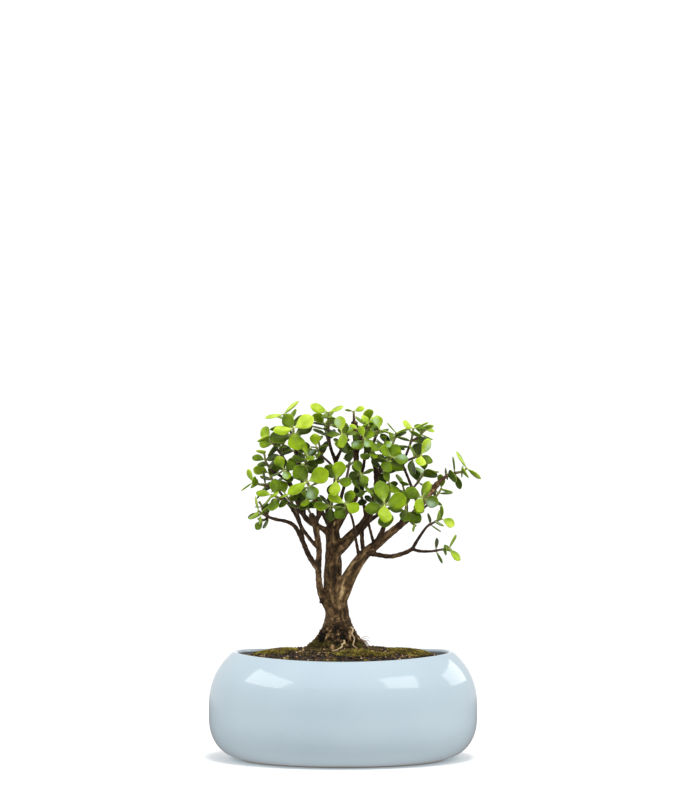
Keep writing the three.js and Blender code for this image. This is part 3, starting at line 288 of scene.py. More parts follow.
# Leafy shoots. The path runs from inside the wood to the tip, and its first `bare` spans are wood.
# pairs is how many pairs of leaves grow from the tip back, leaf is the length of the largest, turn is
# the end pair's angle about the shoot and open the angle between shoot and leaf, both in degrees.
# sides is how many side shoots it has, facing how far its end pair looks to the front, and girth the
# stem's radius at its foot.
USUAL_SHOOT = dict(pairs=3, bare=1, open=62, girth=0.0011, facing=FACING, sides=0)
SHOOTS = {
    "front_left": dict(leaf=0.0165, turn=-58, open=80, girth=0.0015, bare=4, facing=1, path=[
        (-0.02, -0.01, 0.1745), (-0.0185, -0.013, 0.181), (-0.019, -0.018, 0.188), (-0.0215, -0.024, 0.1945),
        (-0.0235, -0.031, 0.2), (-0.025, -0.038, 0.204), (-0.026, -0.045, 0.2065)]),
    "front_right": dict(leaf=0.0175, turn=10, open=80, girth=0.0022, bare=3, facing=1, path=[
        (0.023, -0.008, 0.158), (0.027, -0.011, 0.165), (0.03, -0.016, 0.172), (0.0315, -0.025, 0.18),
        (0.0312, -0.035, 0.1865), (0.0304, -0.045, 0.1905)]),
    "front_low": dict(leaf=0.014, turn=-115, pairs=2, open=76, girth=0.0012, bare=4, facing=1, path=[
        (0.012, -0.006, 0.149), (0.0104, -0.01, 0.1585), (0.009, -0.013, 0.166), (0.008, -0.017, 0.174),
        (0.006, -0.024, 0.1815), (0.003, -0.032, 0.187), (0.0015, -0.04, 0.1905)]),
    "centre_bright": dict(leaf=0.0135, turn=-14, open=78, girth=0.0013, bare=2, facing=1, path=[
        (-0.0076, 0.002, 0.198), (-0.007, -0.009, 0.202), (-0.006, -0.02, 0.205), (-0.005, -0.031, 0.207),
        (-0.0049, -0.041, 0.208)]),
    "upper_left_fore": dict(leaf=0.018, turn=-70, open=80, girth=0.0012, facing=0.9, path=[
        (-0.0344, -0.002, 0.2265), (-0.0354, -0.009, 0.234), (-0.0364, -0.018, 0.241),
        (-0.0366, -0.027, 0.2456)]),
    "top_left": dict(leaf=0.016, turn=12, open=74, girth=0.0016, bare=4, path=[
        (-0.0324, 0.005, 0.1875), (-0.0304, 0.004, 0.197), (-0.0308, 0.003, 0.208), (-0.033, 0, 0.22),
        (-0.0354, -0.003, 0.231), (-0.0385, -0.005, 0.242), (-0.041, -0.006, 0.249),
        (-0.0444, -0.007, 0.2566)]),
    "top_centre": dict(leaf=0.0145, turn=5, pairs=4, open=72, girth=0.0014, path=[
        (-0.0056, 0.004, 0.2215), (-0.0094, 0.002, 0.232), (-0.0108, 0, 0.243), (-0.0108, -0.003, 0.258)]),
    "top_fore": dict(leaf=0.0135, turn=5, open=74, girth=0.0013, facing=0.6, path=[
        (-0.0056, 0.004, 0.2215), (-0.001, -0.003, 0.231), (0.0002, -0.012, 0.238),
        (-0.001, -0.024, 0.243)]),
    "crown_tip": dict(leaf=0.008, turn=4, open=74, girth=0.0012, path=[
        (0.0084, 0.005, 0.249), (0.0082, 0.005, 0.2526), (0.0079, 0.005, 0.259)]),
    "top_right": dict(leaf=0.0135, turn=25, sides=1, path=[
        (0.0439, -0.002, 0.2195), (0.048, -0.003, 0.2285), (0.051, -0.005, 0.2375),
        (0.0524, -0.007, 0.246)]),
    "top_right_inner": dict(leaf=0.013, turn=10, girth=0.0014, path=[
        (0.0224, 0.005, 0.2255), (0.0224, 0.004, 0.233), (0.0244, 0, 0.2395), (0.0274, -0.004, 0.245)]),
    "right_upper": dict(leaf=0.014, turn=-30, open=66, path=[
        (0.0442, -0.002, 0.219), (0.048, -0.008, 0.222), (0.053, -0.015, 0.224), (0.058, -0.021, 0.226)]),
    "right_tip": dict(leaf=0.014, turn=0, pairs=5, open=80, girth=0.0016, path=[
        (0.0706, -0.004, 0.205), (0.0754, -0.003, 0.209), (0.08, -0.002, 0.2116), (0.086, -0.002, 0.213),
        (0.0896, -0.002, 0.2138), (0.0924, -0.0025, 0.2164)]),
    "right_fore": dict(leaf=0.014, turn=-20, open=70, girth=0.0013, facing=0.8, path=[
        (0.0545, -0.009, 0.1845), (0.057, -0.017, 0.1895), (0.0584, -0.026, 0.193),
        (0.0586, -0.035, 0.1955)]),
    "right_fore_low": dict(leaf=0.014, turn=-96, open=76, girth=0.0013, facing=0.8, path=[
        (0.0415, -0.01, 0.173), (0.044, -0.019, 0.1795), (0.046, -0.028, 0.185), (0.0464, -0.037, 0.189)]),
    "low_up": dict(leaf=0.0115, turn=35, open=58, girth=0.0013, bare=2, path=[
        (0.0512, -0.011, 0.156), (0.056, -0.012, 0.164), (0.062, -0.013, 0.1725), (0.0675, -0.014, 0.176),
        (0.0735, -0.016, 0.179)]),
    "low_right": dict(leaf=0.0115, turn=8, open=58, girth=0.0012, bare=2, path=[
        (0.0512, -0.011, 0.156), (0.058, -0.011, 0.1545), (0.066, -0.012, 0.1546), (0.073, -0.013, 0.1558),
        (0.079, -0.014, 0.1566)]),
    "limb_spur": dict(leaf=0.0085, turn=90, pairs=1, girth=0.0009, path=[
        (0.0484, -0.01, 0.1786), (0.051, -0.0125, 0.1756), (0.054, -0.015, 0.1734)]),
    "left_upper": dict(leaf=0.013, turn=35, pairs=4, open=56, girth=0.0012, bare=2, sides=1, path=[
        (-0.0398, 0.002, 0.2053), (-0.041, 0, 0.214), (-0.0435, -0.003, 0.2226), (-0.0485, -0.006, 0.2295),
        (-0.0545, -0.009, 0.238)]),
    "left_middle": dict(leaf=0.012, turn=78, open=58, bare=2, path=[
        (-0.0396, 0.002, 0.205), (-0.046, -0.001, 0.21), (-0.0525, -0.005, 0.214), (-0.057, -0.009, 0.2205),
        (-0.0586, -0.011, 0.227)]),
    "left_long": dict(leaf=0.0125, turn=4, pairs=4, open=56, bare=2, path=[
        (-0.0396, 0.002, 0.2046), (-0.0435, 0, 0.203), (-0.049, -0.003, 0.202), (-0.055, -0.005, 0.2026),
        (-0.061, -0.006, 0.2038), (-0.0675, -0.006, 0.2058)]),
    "left_low": dict(leaf=0.0125, turn=25, pairs=4, girth=0.0013, sides=2, path=[
        (-0.0495, -0.005, 0.178), (-0.053, -0.007, 0.179), (-0.0575, -0.01, 0.181),
        (-0.063, -0.014, 0.1846)]),
    "left_low_inner": dict(leaf=0.013, turn=88, girth=0.0015, bare=4, path=[
        (-0.0179, -0.008, 0.156), (-0.0245, -0.007, 0.1635), (-0.031, -0.005, 0.1725),
        (-0.036, -0.008, 0.1825), (-0.041, -0.013, 0.19), (-0.047, -0.018, 0.194),
        (-0.053, -0.023, 0.1965)]),
    "left_fore": dict(leaf=0.012, turn=20, path=[
        (-0.0306, 0.003, 0.206), (-0.029, -0.006, 0.2135), (-0.0275, -0.015, 0.2195),
        (-0.0265, -0.022, 0.226)]),
    "crown_right": dict(leaf=0.0105, turn=30, open=60, girth=0.0014, bare=2, sides=2, path=[
        (0.011, 0.007, 0.203), (0.0152, 0.01, 0.217), (0.017, 0.009, 0.232), (0.019, 0.005, 0.2405),
        (0.0194, 0, 0.248)]),
    "middle_fore": dict(leaf=0.011, turn=40, open=66, girth=0.001, sides=1, path=[
        (0.0098, 0.006, 0.228), (0.0124, -0.003, 0.2325), (0.0144, -0.012, 0.236),
        (0.0154, -0.021, 0.2385)]),
    "middle_right_fore": dict(leaf=0.0125, turn=60, open=66, sides=1, path=[
        (0.0251, 0.006, 0.208), (0.029, -0.002, 0.215), (0.0326, -0.011, 0.2206), (0.036, -0.02, 0.2246)]),
    "middle_low_fore": dict(leaf=0.0115, turn=15, open=68, girth=0.001, path=[
        (0.0109, 0.006, 0.2035), (0.0124, -0.004, 0.2075), (0.013, -0.014, 0.2105),
        (0.013, -0.024, 0.2125)]),
    "right_inner": dict(leaf=0.0115, turn=45, open=58, path=[
        (0.046, -0.01, 0.177), (0.0476, -0.005, 0.186), (0.0466, -0.006, 0.195), (0.0444, -0.01, 0.2035)]),
    "left_inner_spur": dict(leaf=0.0105, turn=30, girth=0.001, path=[
        (-0.0285, 0.006, 0.18), (-0.0286, -0.001, 0.186), (-0.0276, -0.008, 0.191),
        (-0.027, -0.015, 0.194)]),
    "core_low": dict(leaf=0.013, turn=84, open=74, path=[
        (-0.0104, 0.004, 0.1845), (-0.01, -0.006, 0.1865), (-0.0094, -0.016, 0.188),
        (-0.009, -0.025, 0.1884)]),
    "core_left": dict(leaf=0.0105, turn=20, open=60, girth=0.001, sides=2, path=[
        (-0.0047, 0.003, 0.214), (-0.0105, -0.002, 0.2205), (-0.0164, -0.007, 0.226),
        (-0.02, -0.012, 0.232)]),
    "middle_inner": dict(leaf=0.0115, turn=20, open=66, girth=0.001, path=[
        (0.0244, 0.007, 0.196), (0.0286, 0, 0.2006), (0.032, -0.007, 0.2034), (0.0346, -0.014, 0.205)]),
    "core_upper": dict(leaf=0.0105, turn=65, girth=0.001, sides=1, path=[
        (-0.0056, 0.004, 0.2195), (-0.0016, 0.004, 0.229), (0.0006, 0.002, 0.236), (0.001, -0.002, 0.2436)]),
    "left_middle_fore": dict(leaf=0.0115, turn=30, open=66, girth=0.001, path=[
        (-0.0396, 0.002, 0.2048), (-0.042, -0.006, 0.21), (-0.0434, -0.014, 0.2136),
        (-0.0436, -0.022, 0.2156)]),
    "core_high": dict(leaf=0.0095, turn=50, open=64, girth=0.001, sides=1, path=[
        (0.0096, 0.006, 0.234), (0.014, 0.009, 0.24), (0.0164, 0.012, 0.245), (0.017, 0.014, 0.2506)]),
    "inner_right_high": dict(leaf=0.0105, turn=10, open=64, girth=0.001, sides=1, path=[
        (0.0234, 0.0056, 0.22), (0.029, 0.008, 0.225), (0.0336, 0.009, 0.2296), (0.038, 0.008, 0.234)]),
    "left_upright": dict(leaf=0.0115, turn=50, girth=0.0014, bare=2, path=[
        (-0.03, -0.002, 0.164), (-0.0316, -0.006, 0.174), (-0.034, -0.011, 0.183), (-0.038, -0.015, 0.1906),
        (-0.043, -0.02, 0.197)]),
    "core_riser": dict(leaf=0.011, turn=15, girth=0.0014, path=[
        (0.017, 0.005, 0.1805), (0.0154, -0.002, 0.189), (0.0136, -0.009, 0.1956), (0.013, -0.016, 0.2)]),
    "core_thin": dict(leaf=0.011, turn=80, open=64, path=[
        (0.018, -0.001, 0.1775), (0.021, -0.008, 0.185), (0.023, -0.015, 0.191), (0.024, -0.022, 0.196)]),
    "upper_inner": dict(leaf=0.0105, turn=35, girth=0.001, path=[
        (0.0236, 0.0056, 0.218), (0.022, -0.003, 0.223), (0.021, -0.01, 0.226), (0.0214, -0.016, 0.2294)]),
    "back_left": dict(leaf=0.014, turn=30, open=60, girth=0.0018, bare=3, path=[
        (-0.008, 0.005, 0.168), (-0.014, 0.015, 0.18), (-0.02, 0.024, 0.191), (-0.0256, 0.032, 0.202),
        (-0.03, 0.038, 0.212), (-0.033, 0.042, 0.221)]),
    "back_middle": dict(leaf=0.014, turn=10, open=60, girth=0.0017, bare=3, path=[
        (-0.007, 0.005, 0.174), (-0.0036, 0.015, 0.186), (-0.0004, 0.025, 0.198), (0.0026, 0.034, 0.209),
        (0.0046, 0.041, 0.219), (0.005, 0.045, 0.229)]),
    "back_right": dict(leaf=0.014, turn=50, open=60, girth=0.0017, bare=3, path=[
        (0.01, 0.007, 0.169), (0.017, 0.016, 0.18), (0.024, 0.025, 0.19), (0.03, 0.032, 0.201),
        (0.034, 0.038, 0.211), (0.037, 0.042, 0.22)]),
    "back_far_right": dict(leaf=0.014, turn=20, open=60, girth=0.0015, bare=3, path=[
        (0.0154, 0.008, 0.1745), (0.027, 0.014, 0.1815), (0.0386, 0.019, 0.1885), (0.048, 0.022, 0.1965),
        (0.056, 0.025, 0.205), (0.062, 0.027, 0.214)]),
    "back_far_left": dict(leaf=0.014, turn=60, open=60, girth=0.0015, bare=3, path=[
        (-0.022, 0.0056, 0.1748), (-0.03, 0.012, 0.1815), (-0.039, 0.017, 0.188), (-0.046, 0.021, 0.196),
        (-0.052, 0.024, 0.205), (-0.056, 0.026, 0.213)]),
    "back_upper_left": dict(leaf=0.0125, turn=0, open=58, path=[
        (-0.0306, 0.0034, 0.205), (-0.033, 0.011, 0.216), (-0.036, 0.017, 0.227), (-0.038, 0.021, 0.238)]),
    "back_top_left": dict(leaf=0.0125, turn=45, open=56, path=[
        (-0.0046, 0.003, 0.216), (-0.0084, 0.012, 0.228), (-0.012, 0.018, 0.239), (-0.014, 0.021, 0.25)]),
    "back_top_right": dict(leaf=0.0125, turn=75, open=56, path=[
        (0.0098, 0.006, 0.224), (0.013, 0.014, 0.234), (0.017, 0.02, 0.243), (0.02, 0.023, 0.252)]),
    "back_right_top": dict(leaf=0.0125, turn=15, open=58, path=[
        (0.025, 0.006, 0.211), (0.031, 0.012, 0.222), (0.0366, 0.016, 0.232), (0.04, 0.018, 0.243)]),
    "back_low_right": dict(leaf=0.013, turn=30, girth=0.0014, bare=2, path=[
        (0.012, 0.007, 0.171), (0.0186, 0.021, 0.175), (0.025, 0.034, 0.18), (0.0294, 0.044, 0.187),
        (0.032, 0.05, 0.195)]),
    "back_low_left": dict(leaf=0.013, turn=60, girth=0.0014, bare=2, path=[
        (-0.008, 0.004, 0.162), (-0.0144, 0.018, 0.169), (-0.0206, 0.031, 0.176), (-0.026, 0.042, 0.184),
        (-0.029, 0.049, 0.193)]),
    "right_back_low": dict(leaf=0.0125, turn=20, open=60, girth=0.0012, bare=2, path=[
        (0.047, -0.009, 0.178), (0.055, 0, 0.183), (0.0624, 0.007, 0.188), (0.069, 0.012, 0.194),
        (0.074, 0.016, 0.201)]),
}

# Moss cushions on the soil: centre, half-lengths along and across, height and turn in degrees.
CUSHIONS = {
    "moss_right": dict(at=(0.05, -0.008), half=(0.024, 0.014), height=0.0016, turn=66),
    "moss_left": dict(at=(-0.05, -0.004), half=(0.022, 0.014), height=0.0014, turn=-58),
    "moss_front": dict(at=(0.013, -0.04), half=(0.021, 0.009), height=0.0016, turn=4),
    "moss_back": dict(at=(-0.006, 0.05), half=(0.03, 0.014), height=0.0016, turn=-6),
}

# Places on a leaf's blade, as shares of its length and half-width, that no other leaf may come near
PROBES = [
    (0.25, 0), (0.5, 0), (0.75, 0), (1, 0), (0.4, 0.9), (0.4, -0.9), (0.65, 0.9), (0.65, -0.9),
    (0.88, 0.9), (0.88, -0.9),
]
GIVES = [0, 12, -12, 24, -24, 38, -38]  # turns about the twig that a crowded leaf may take, in degrees
SIZES = [1, 0.86, 0.72]  # or how much smaller it may grow


# Small helpers
def unit(v):
    return v / math.sqrt(float(v @ v))


def mix(a, b, share):
    return a + (b - a) * share


def smooth(low, high, value):
    """0 at low, 1 at high and a soft step between them. Low may be the larger."""
    share = np.clip((value - low) / (high - low), 0, 1)
    return share * share * (3 - 2 * share)


def turned_about(v, axis, angle):
    """v turned by angle about a unit axis."""
    swing = v * math.cos(angle) + np.cross(axis, v) * math.sin(angle)
    return swing + axis * (axis @ v) * (1 - math.cos(angle))


def catmull_rom(points, steps):
    """Points on one smooth curve through the given ones, steps to each span."""
    p = np.array(points, float)
    p = np.vstack([2 * p[0] - p[1], p, 2 * p[-1] - p[-2]])
    out = []
    for i in range(1, len(p) - 2):
        start, slope, end_slope = p[i], 0.5 * (p[i + 1] - p[i - 1]), 0.5 * (p[i + 2] - p[i])
        rise = p[i + 1] - p[i]
        for step in range(steps):
            t = step / steps
            out.append(start + slope * t + (3 * rise - 2 * slope - end_slope) * t**2
                       + (slope + end_slope - 2 * rise) * t**3)
    out.append(p[-2])
    return np.array(out)


def turns(sides):
    """That many angles, evenly round a circle."""
    return np.arange(sides) * 2 * math.pi / sides


def lengths_along(places):
    """How far along its line each place lies."""
    return np.concatenate([[0], np.cumsum(np.linalg.norm(np.diff(places, axis=0), axis=1))])


def bumps(x, y, scale, z):
    """Smooth noise, about -1 to 1, with that many bumps a metre in x and y."""
    return noise.noise(Vector((x * scale, y * scale, z)))


def rings_along(places, radii, sides, swell=None, level=False):
    """Rings of a round section along places. They turn with the path without twisting."""
    start = unit(places[1] - places[0])
    across = np.array([0.0, 1, 0]) if abs(start[0]) > 0.8 else np.array([1.0, 0, 0])
    angles = turns(sides)
    rings = []
    for i, place in enumerate(places):
        tangent = unit(places[min(i + 1, len(places) - 1)] - places[max(i - 1, 0)])
        if level:
            tangent = np.array([0.0, 0, 1])
        across = unit(across - tangent * (across @ tangent))
        other = np.cross(tangent, across)
        reach = radii[i] * (swell(angles, place[2]) if swell else 1)
        ring = place + np.outer(reach * np.cos(angles), across) + np.outer(reach * np.sin(angles), other)
        rings.append(ring)
    return np.array(rings)


class Heap:
    """Points, faces and values of one piece while it is being made."""

    def __init__(self):
        self.points, self.faces, self.skins, self.values = [], [], [], {}
        self.count = 0

    def add(self, points, faces, skin=0, **values):
        points = np.asarray(points, float).reshape(-1, 3)
        self.faces += [tuple(corner + self.count for corner in face) for face in faces]
        self.skins += [skin] * len(faces)
        self.points.append(points)
        for name in dict.fromkeys([*self.values, *values]):
            row = self.values.setdefault(name, [np.zeros(self.count)] if self.count else [])
            row.append(np.broadcast_to(values.get(name, 0.0), len(points)))
        self.count += len(points)

    def loft(self, rings, skin=0, **values):
        """A closed skin over rings, with a fan over each end. A value is one number or one a ring point."""
        rows, sides = rings.shape[:2]
        points = np.vstack([rings.reshape(-1, 3), rings[0].mean(axis=0), rings[-1].mean(axis=0)])
        faces = []
        for row in range(rows - 1):
            for side in range(sides):
                a, b = row * sides + side, row * sides + (side + 1) % sides
                faces.append((a, b, b + sides, a + sides))
        last = (rows - 1) * sides
        for side in range(sides):
            after = (side + 1) % sides
            faces.append((rows * sides, after, side))
            faces.append((rows * sides + 1, last + side, last + after))
        spread = {}
        for name, value in values.items():
            if np.ndim(value):
                flat = np.asarray(value, float).reshape(rows, sides)
                value = np.concatenate([flat.ravel(), [flat[0].mean(), flat[-1].mean()]])
            spread[name] = value
        self.add(points, faces, skin, **spread)

    def mesh(self, name):
        """The heap as a smooth mesh with its values."""
        mesh = bpy.data.meshes.new(name)
        mesh.from_pydata(np.vstack(self.points).tolist(), [], self.faces)
        mesh.polygons.foreach_set("material_index", self.skins)
        for key, rows in self.values.items():
            write_value(mesh, key, np.concatenate(rows))
        mesh.shade_smooth()
        return mesh


def write_value(mesh, name, values):
    """Gives each point of the mesh a number, for its material to read."""
    attribute = mesh.attributes.get(name) or mesh.attributes.new(name, "FLOAT", "POINT")
    attribute.data.foreach_set("value", np.asarray(values, np.float32))


def linked(name, data):
    """A new object in the scene."""
    made = bpy.data.objects.new(name, data)
    bpy.context.scene.collection.objects.link(made)
    return made


def place_piece(name, mesh, materials, nodes=()):
    piece = linked(name, mesh)
    for material in materials:
        piece.data.materials.append(material)
    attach(piece, "root")
    if nodes:
        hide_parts(*nodes)
    return piece


def baked(piece):
    """The piece with its modifiers applied to its mesh."""
    depsgraph = bpy.context.evaluated_depsgraph_get()
    mesh = bpy.data.meshes.new_from_object(piece.evaluated_get(depsgraph))
    piece.modifiers.clear()
    old = piece.data
    piece.data = mesh
    bpy.data.meshes.remove(old)


def cut_out(piece, cutter_mesh):
    """Subtracts a closed mesh from the piece."""
    cutter = linked("cutter", cutter_mesh)
    modifier = piece.modifiers.new("cut", "BOOLEAN")
    modifier.operation = "DIFFERENCE"
    modifier.solver = "EXACT"
    modifier.object = cutter
    baked(piece)
    bpy.data.objects.remove(cutter)


# Materials
class Nodes:
    """The nodes of a new material, or of a new world, while they are being wired up."""

    def __init__(self, name, kind=bpy.data.materials):
        self.owner = kind.new(name)
        self.owner.use_nodes = True
        self.tree = self.owner.node_tree
        self.shader = self.tree.nodes.get("Principled BSDF")

    def add(self, kind, **settings):
        node = self.tree.nodes.new("ShaderNode" + kind)
        for key, value in settings.items():
            setattr(node, key, value)
        return node

    def link(self, source, target):
        self.tree.links.new(source, target)

    def place(self):
        return self.add("TexCoord").outputs["Object"]

    def value(self, name):
        return self.add("Attribute", attribute_name=name).outputs["Fac"]

    def noise(self, scale, detail=3, roughness=0.55, stretch=None, source=None):
        node = self.add("TexNoise")
        node.inputs["Scale"].default_value = scale
        node.inputs["Detail"].default_value = detail
        node.inputs["Roughness"].default_value = roughness
        source = source or self.place()
        if stretch:
            mapping = self.add("Mapping")
            mapping.inputs["Scale"].default_value = stretch
            self.link(source, mapping.inputs["Vector"])
            source = mapping.outputs["Vector"]
        self.link(source, node.inputs["Vector"])
        return node.outputs["Fac"]

    def ramp(self, source, *stops):
        """Colours by value: stops are (place, colour)."""
        node = self.add("ValToRGB")
        ramp = node.color_ramp
        while len(ramp.elements) < len(stops):
            ramp.elements.new(0.5)
        for element, (place, colour) in zip(ramp.elements, stops):
            element.position = place
            element.color = (*colour, 1)
        self.link(source, node.inputs["Fac"])
        return node.outputs["Color"]

    def math(self, operation, first, second):
        node = self.add("Math", operation=operation)
        for socket, value in zip(node.inputs, (first, second)):
            if isinstance(value, (int, float)):
                socket.default_value = value
            else:
                self.link(value, socket)
        return node.outputs["Value"]

    def mask(self, source, start, end):
        """Black below start and white above end."""
        return self.ramp(source, (start, (0, 0, 0)), (end, (1, 1, 1)))

    def level(self, source, start, end, low, high):
        """A value that runs from low to high while the source runs from start to end."""
        node = self.add("MapRange")
        for name, value in (("From Min", start), ("From Max", end), ("To Min", low), ("To Max", high)):
            node.inputs[name].default_value = value
        self.link(source, node.inputs["Value"])
        return node.outputs["Result"]

    def varied(self, name, scale, detail, amount):
        """One of the mesh's own values, made uneven by noise."""
        uneven = self.math("SUBTRACT", self.noise(scale, detail), 0.5)
        return self.math("ADD", self.value(name), self.math("MULTIPLY", uneven, amount))

    def blend(self, share, first, second):
        """One colour laid over another. share, first and second are sockets or plain values."""
        node = self.add("MixRGB")
        for socket, value in zip((node.inputs["Fac"], node.inputs["Color1"], node.inputs["Color2"]),
                                 (share, first, second)):
            if isinstance(value, (int, float)):
                socket.default_value = value
            elif isinstance(value, tuple):
                socket.default_value = (*value, 1)
            else:
                self.link(value, socket)
        return node.outputs["Color"]

    def bump(self, height, strength, distance):
        node = self.add("Bump")
        node.inputs["Strength"].default_value = strength
        node.inputs["Distance"].default_value = distance
        self.link(height, node.inputs["Height"])
        self.link(node.outputs["Normal"], self.shader.inputs["Normal"])

    def finish(self, colour, roughness, **settings):
        self.link(colour, self.shader.inputs["Base Color"])
        if isinstance(roughness, (int, float)):
            self.shader.inputs["Roughness"].default_value = roughness
        else:
            self.link(roughness, self.shader.inputs["Roughness"])
        for key, value in settings.items():
            self.shader.inputs[key.replace("_", " ")].default_value = value
        return self.owner


def srgb(red, green, blue):
    """A colour given as it shows on a screen, 0 to 255, in the linear numbers that a shader takes."""
    def linear(value):
        value /= 255
        return value / 12.92 if value <= 0.04045 else ((value + 0.055) / 1.055) ** 2.4
    return linear(red), linear(green), linear(blue)


def glaze_material():
    n = Nodes("pale_blue_glaze")
    colour = n.ramp(n.noise(16, 2), (0.3, srgb(167, 184, 194)), (0.7, srgb(174, 190, 199)))
    speck = n.mask(n.noise(420, 1), 0.7, 0.78)
    colour = n.blend(n.math("MULTIPLY", speck, 0.12), colour, srgb(225, 236, 243))
    n.bump(n.noise(38, 1), 0.12, 0.0006)
    return n.finish(colour, 0.1, Specular_IOR_Level=0.5)


# The unglazed clay foot, darker grey-brown so that its thin ring also stands in for the contact shadow:
# partly its own colour, partly painted shadow.
def clay_foot_and_shadow_material():
    n = Nodes("bare_clay_foot_and_painted_shadow")
    grain = n.noise(900, 4)
    colour = n.ramp(grain, (0.3, srgb(112, 104, 94)), (0.7, srgb(138, 130, 119)))
    n.bump(grain, 0.4, 0.0003)
    return n.finish(colour, 0.85)


def soil_material():
    n = Nodes("damp_potting_soil")
    tone = n.varied("tone", 700, 4, 1.0)
    colour = n.ramp(tone, (0.0, srgb(16, 10, 4)), (0.35, srgb(46, 30, 14)), (0.62, srgb(90, 61, 30)),
                    (0.86, srgb(140, 110, 70)), (1.0, srgb(196, 176, 138)))
    n.bump(n.noise(2200, 4), 0.8, 0.0004)
    return n.finish(colour, 0.9)


def moss_material():
    n = Nodes("olive_moss")
    tone = n.varied("tone", 260, 4, 1.3)
    colour = n.ramp(tone, (0.0, srgb(20, 15, 5)), (0.35, srgb(52, 45, 8)), (0.6, srgb(102, 92, 16)),
                    (0.85, srgb(162, 147, 42)), (1.0, srgb(205, 190, 92)))
    brown = n.ramp(tone, (0.1, srgb(24, 14, 7)), (0.6, srgb(96, 64, 30)), (1.0, srgb(176, 140, 88)))
    dry = n.mask(n.noise(240, 3), 0.5, 0.62)
    colour = n.blend(n.math("MULTIPLY", dry, 0.75), colour, brown)
    n.bump(n.noise(1800, 3), 0.7, 0.0004)
    return n.finish(colour, 0.95)


def bark_material():
    """Brown bark streaked along its limb, darker and patchier on the flare, with moss at its foot. Cracks
    are darker and plates paler, partly the bark's own colour and partly painted shade and light, and some
    limbs are painted paler or darker as painted light and shade.
    """
    n = Nodes("bark")
    grain = n.add("Attribute", attribute_name="grain").outputs["Vector"]
    mottle = n.math("SUBTRACT", n.noise(330, 5, 0.72, (1, 1, 0.25), grain), 0.5)
    patches = n.math("SUBTRACT", n.noise(190, 3, 0.6, (1, 1, 0.6), grain), 0.5)
    # Darker in its cracks and paler on its plates: partly the bark's own colour, partly painted shade in the
    # cracks and painted light on the plates.
    tone = n.math("ADD", n.value("relief"), n.math("MULTIPLY", mottle, 1.15))
    # Painted light and shade on whole limbs: lit limbs paler, a shaded one darker.
    tone = n.math("ADD", tone, n.value("pale"))
    low_tone = n.math("ADD", n.math("MULTIPLY", patches, 2.8), -0.34)
    tone = n.math("ADD", tone, n.math("MULTIPLY", n.value("low"), low_tone))
    old = n.ramp(tone, (0.12, srgb(21, 14, 6)), (0.36, srgb(52, 38, 21)), (0.56, srgb(92, 70, 43)),
                 (0.76, srgb(138, 110, 74)), (1.0, srgb(204, 176, 130)))
    young = n.ramp(tone, (0.1, srgb(26, 17, 10)), (0.5, srgb(58, 40, 26)), (0.9, srgb(116, 88, 60)))
    colour = n.blend(n.value("age"), young, old)
    green = n.ramp(n.noise(700, 4), (0.3, srgb(30, 25, 9)), (0.7, srgb(92, 82, 30)))
    colour = n.blend(n.value("mossy"), colour, green)
    n.bump(n.noise(1300, 5, 0.7, (1, 1, 0.4), grain), 0.8, 0.0005)
    return n.finish(colour, 0.85, Specular_IOR_Level=0.25)


def stem_material():
    n = Nodes("young_stem")
    streak = n.noise(700, 3, 0.5, (1, 1, 0.3))
    brown = n.ramp(streak, (0.3, srgb(52, 32, 22)), (0.7, srgb(92, 60, 40)))
    green = n.ramp(streak, (0.3, srgb(110, 118, 40)), (0.7, srgb(156, 160, 72)))
    colour = n.blend(n.value("tone"), brown, green)
    n.bump(streak, 0.3, 0.0002)
    return n.finish(colour, 0.5, Subsurface_Weight=0.08, Subsurface_Scale=0.001)


def leaf_material():
    """Green by each leaf's tone, which holds painted light and shade, paler at midrib, foot and rim, painted
    darker underneath as shade, with a pale patch of painted sheen on a few.
    """
    n = Nodes("jade_leaf")
    tone = n.varied("tone", 150, 3, 0.6)
    colour = n.ramp(tone, (0.0, srgb(28, 39, 0)), (0.26, srgb(59, 79, 0)), (0.5, srgb(98, 126, 2)),
                    (0.76, srgb(141, 170, 9)), (1.0, srgb(196, 216, 76)))
    colour = n.blend(n.math("MULTIPLY", n.value("rib"), 0.62), colour, srgb(208, 222, 134))
    # The blade's underside is painted towards a darker olive: painted shade.
    colour = n.blend(n.math("MULTIPLY", n.value("under"), 0.3), colour, srgb(96, 118, 34))
    rim = n.math("MULTIPLY", n.mask(n.value("rim"), 0.7, 1.0), 0.55)
    colour = n.blend(rim, colour, srgb(198, 210, 110))
    # A pale patch on a few leaves: painted sheen, standing for a reflection.
    colour = n.blend(n.value("painted_sheen"), colour, srgb(176, 204, 176))
    n.bump(n.noise(420, 2), 0.25, 0.0004)
    rough = n.level(n.noise(220, 2), 0, 1, 0.3, 0.5)
    return n.finish(colour, rough, Subsurface_Weight=0.3, Subsurface_Scale=0.002,
                    Subsurface_Radius=(0.5, 1.0, 0.1), Specular_IOR_Level=0.15)


def root_hair_material():
    n = Nodes("pale_root")
    tone = n.varied("tone", 600, 3, 0.5)
    colour = n.ramp(tone, (0.1, srgb(96, 70, 52)), (0.4, srgb(144, 114, 86)), (0.9, srgb(208, 184, 142)))
    n.bump(n.noise(1500, 2), 0.3, 0.0002)
    return n.finish(colour, 0.8)


# Bowl
def outer_radius(z):
    if z < WIDEST_Z:
        share = 1 - z / WIDEST_Z
        return FOOT_RADIUS + (BOWL_RADIUS - FOOT_RADIUS) * (1 - share**LOWER_BULGE) ** (1 / LOWER_BULGE)
    rise = (z - WIDEST_Z) / (LIP_Z - WIDEST_Z)
    return BOWL_RADIUS - (BOWL_RADIUS - LIP_RADIUS) * rise**UPPER_BULGE


def lip_dip(y, z):
    rise = np.clip((z - DIP_FROM_Z) / (LIP_Z - DIP_FROM_Z), 0, None)
    return LIP_DIP * (y / BOWL_RADIUS) ** 2 * rise


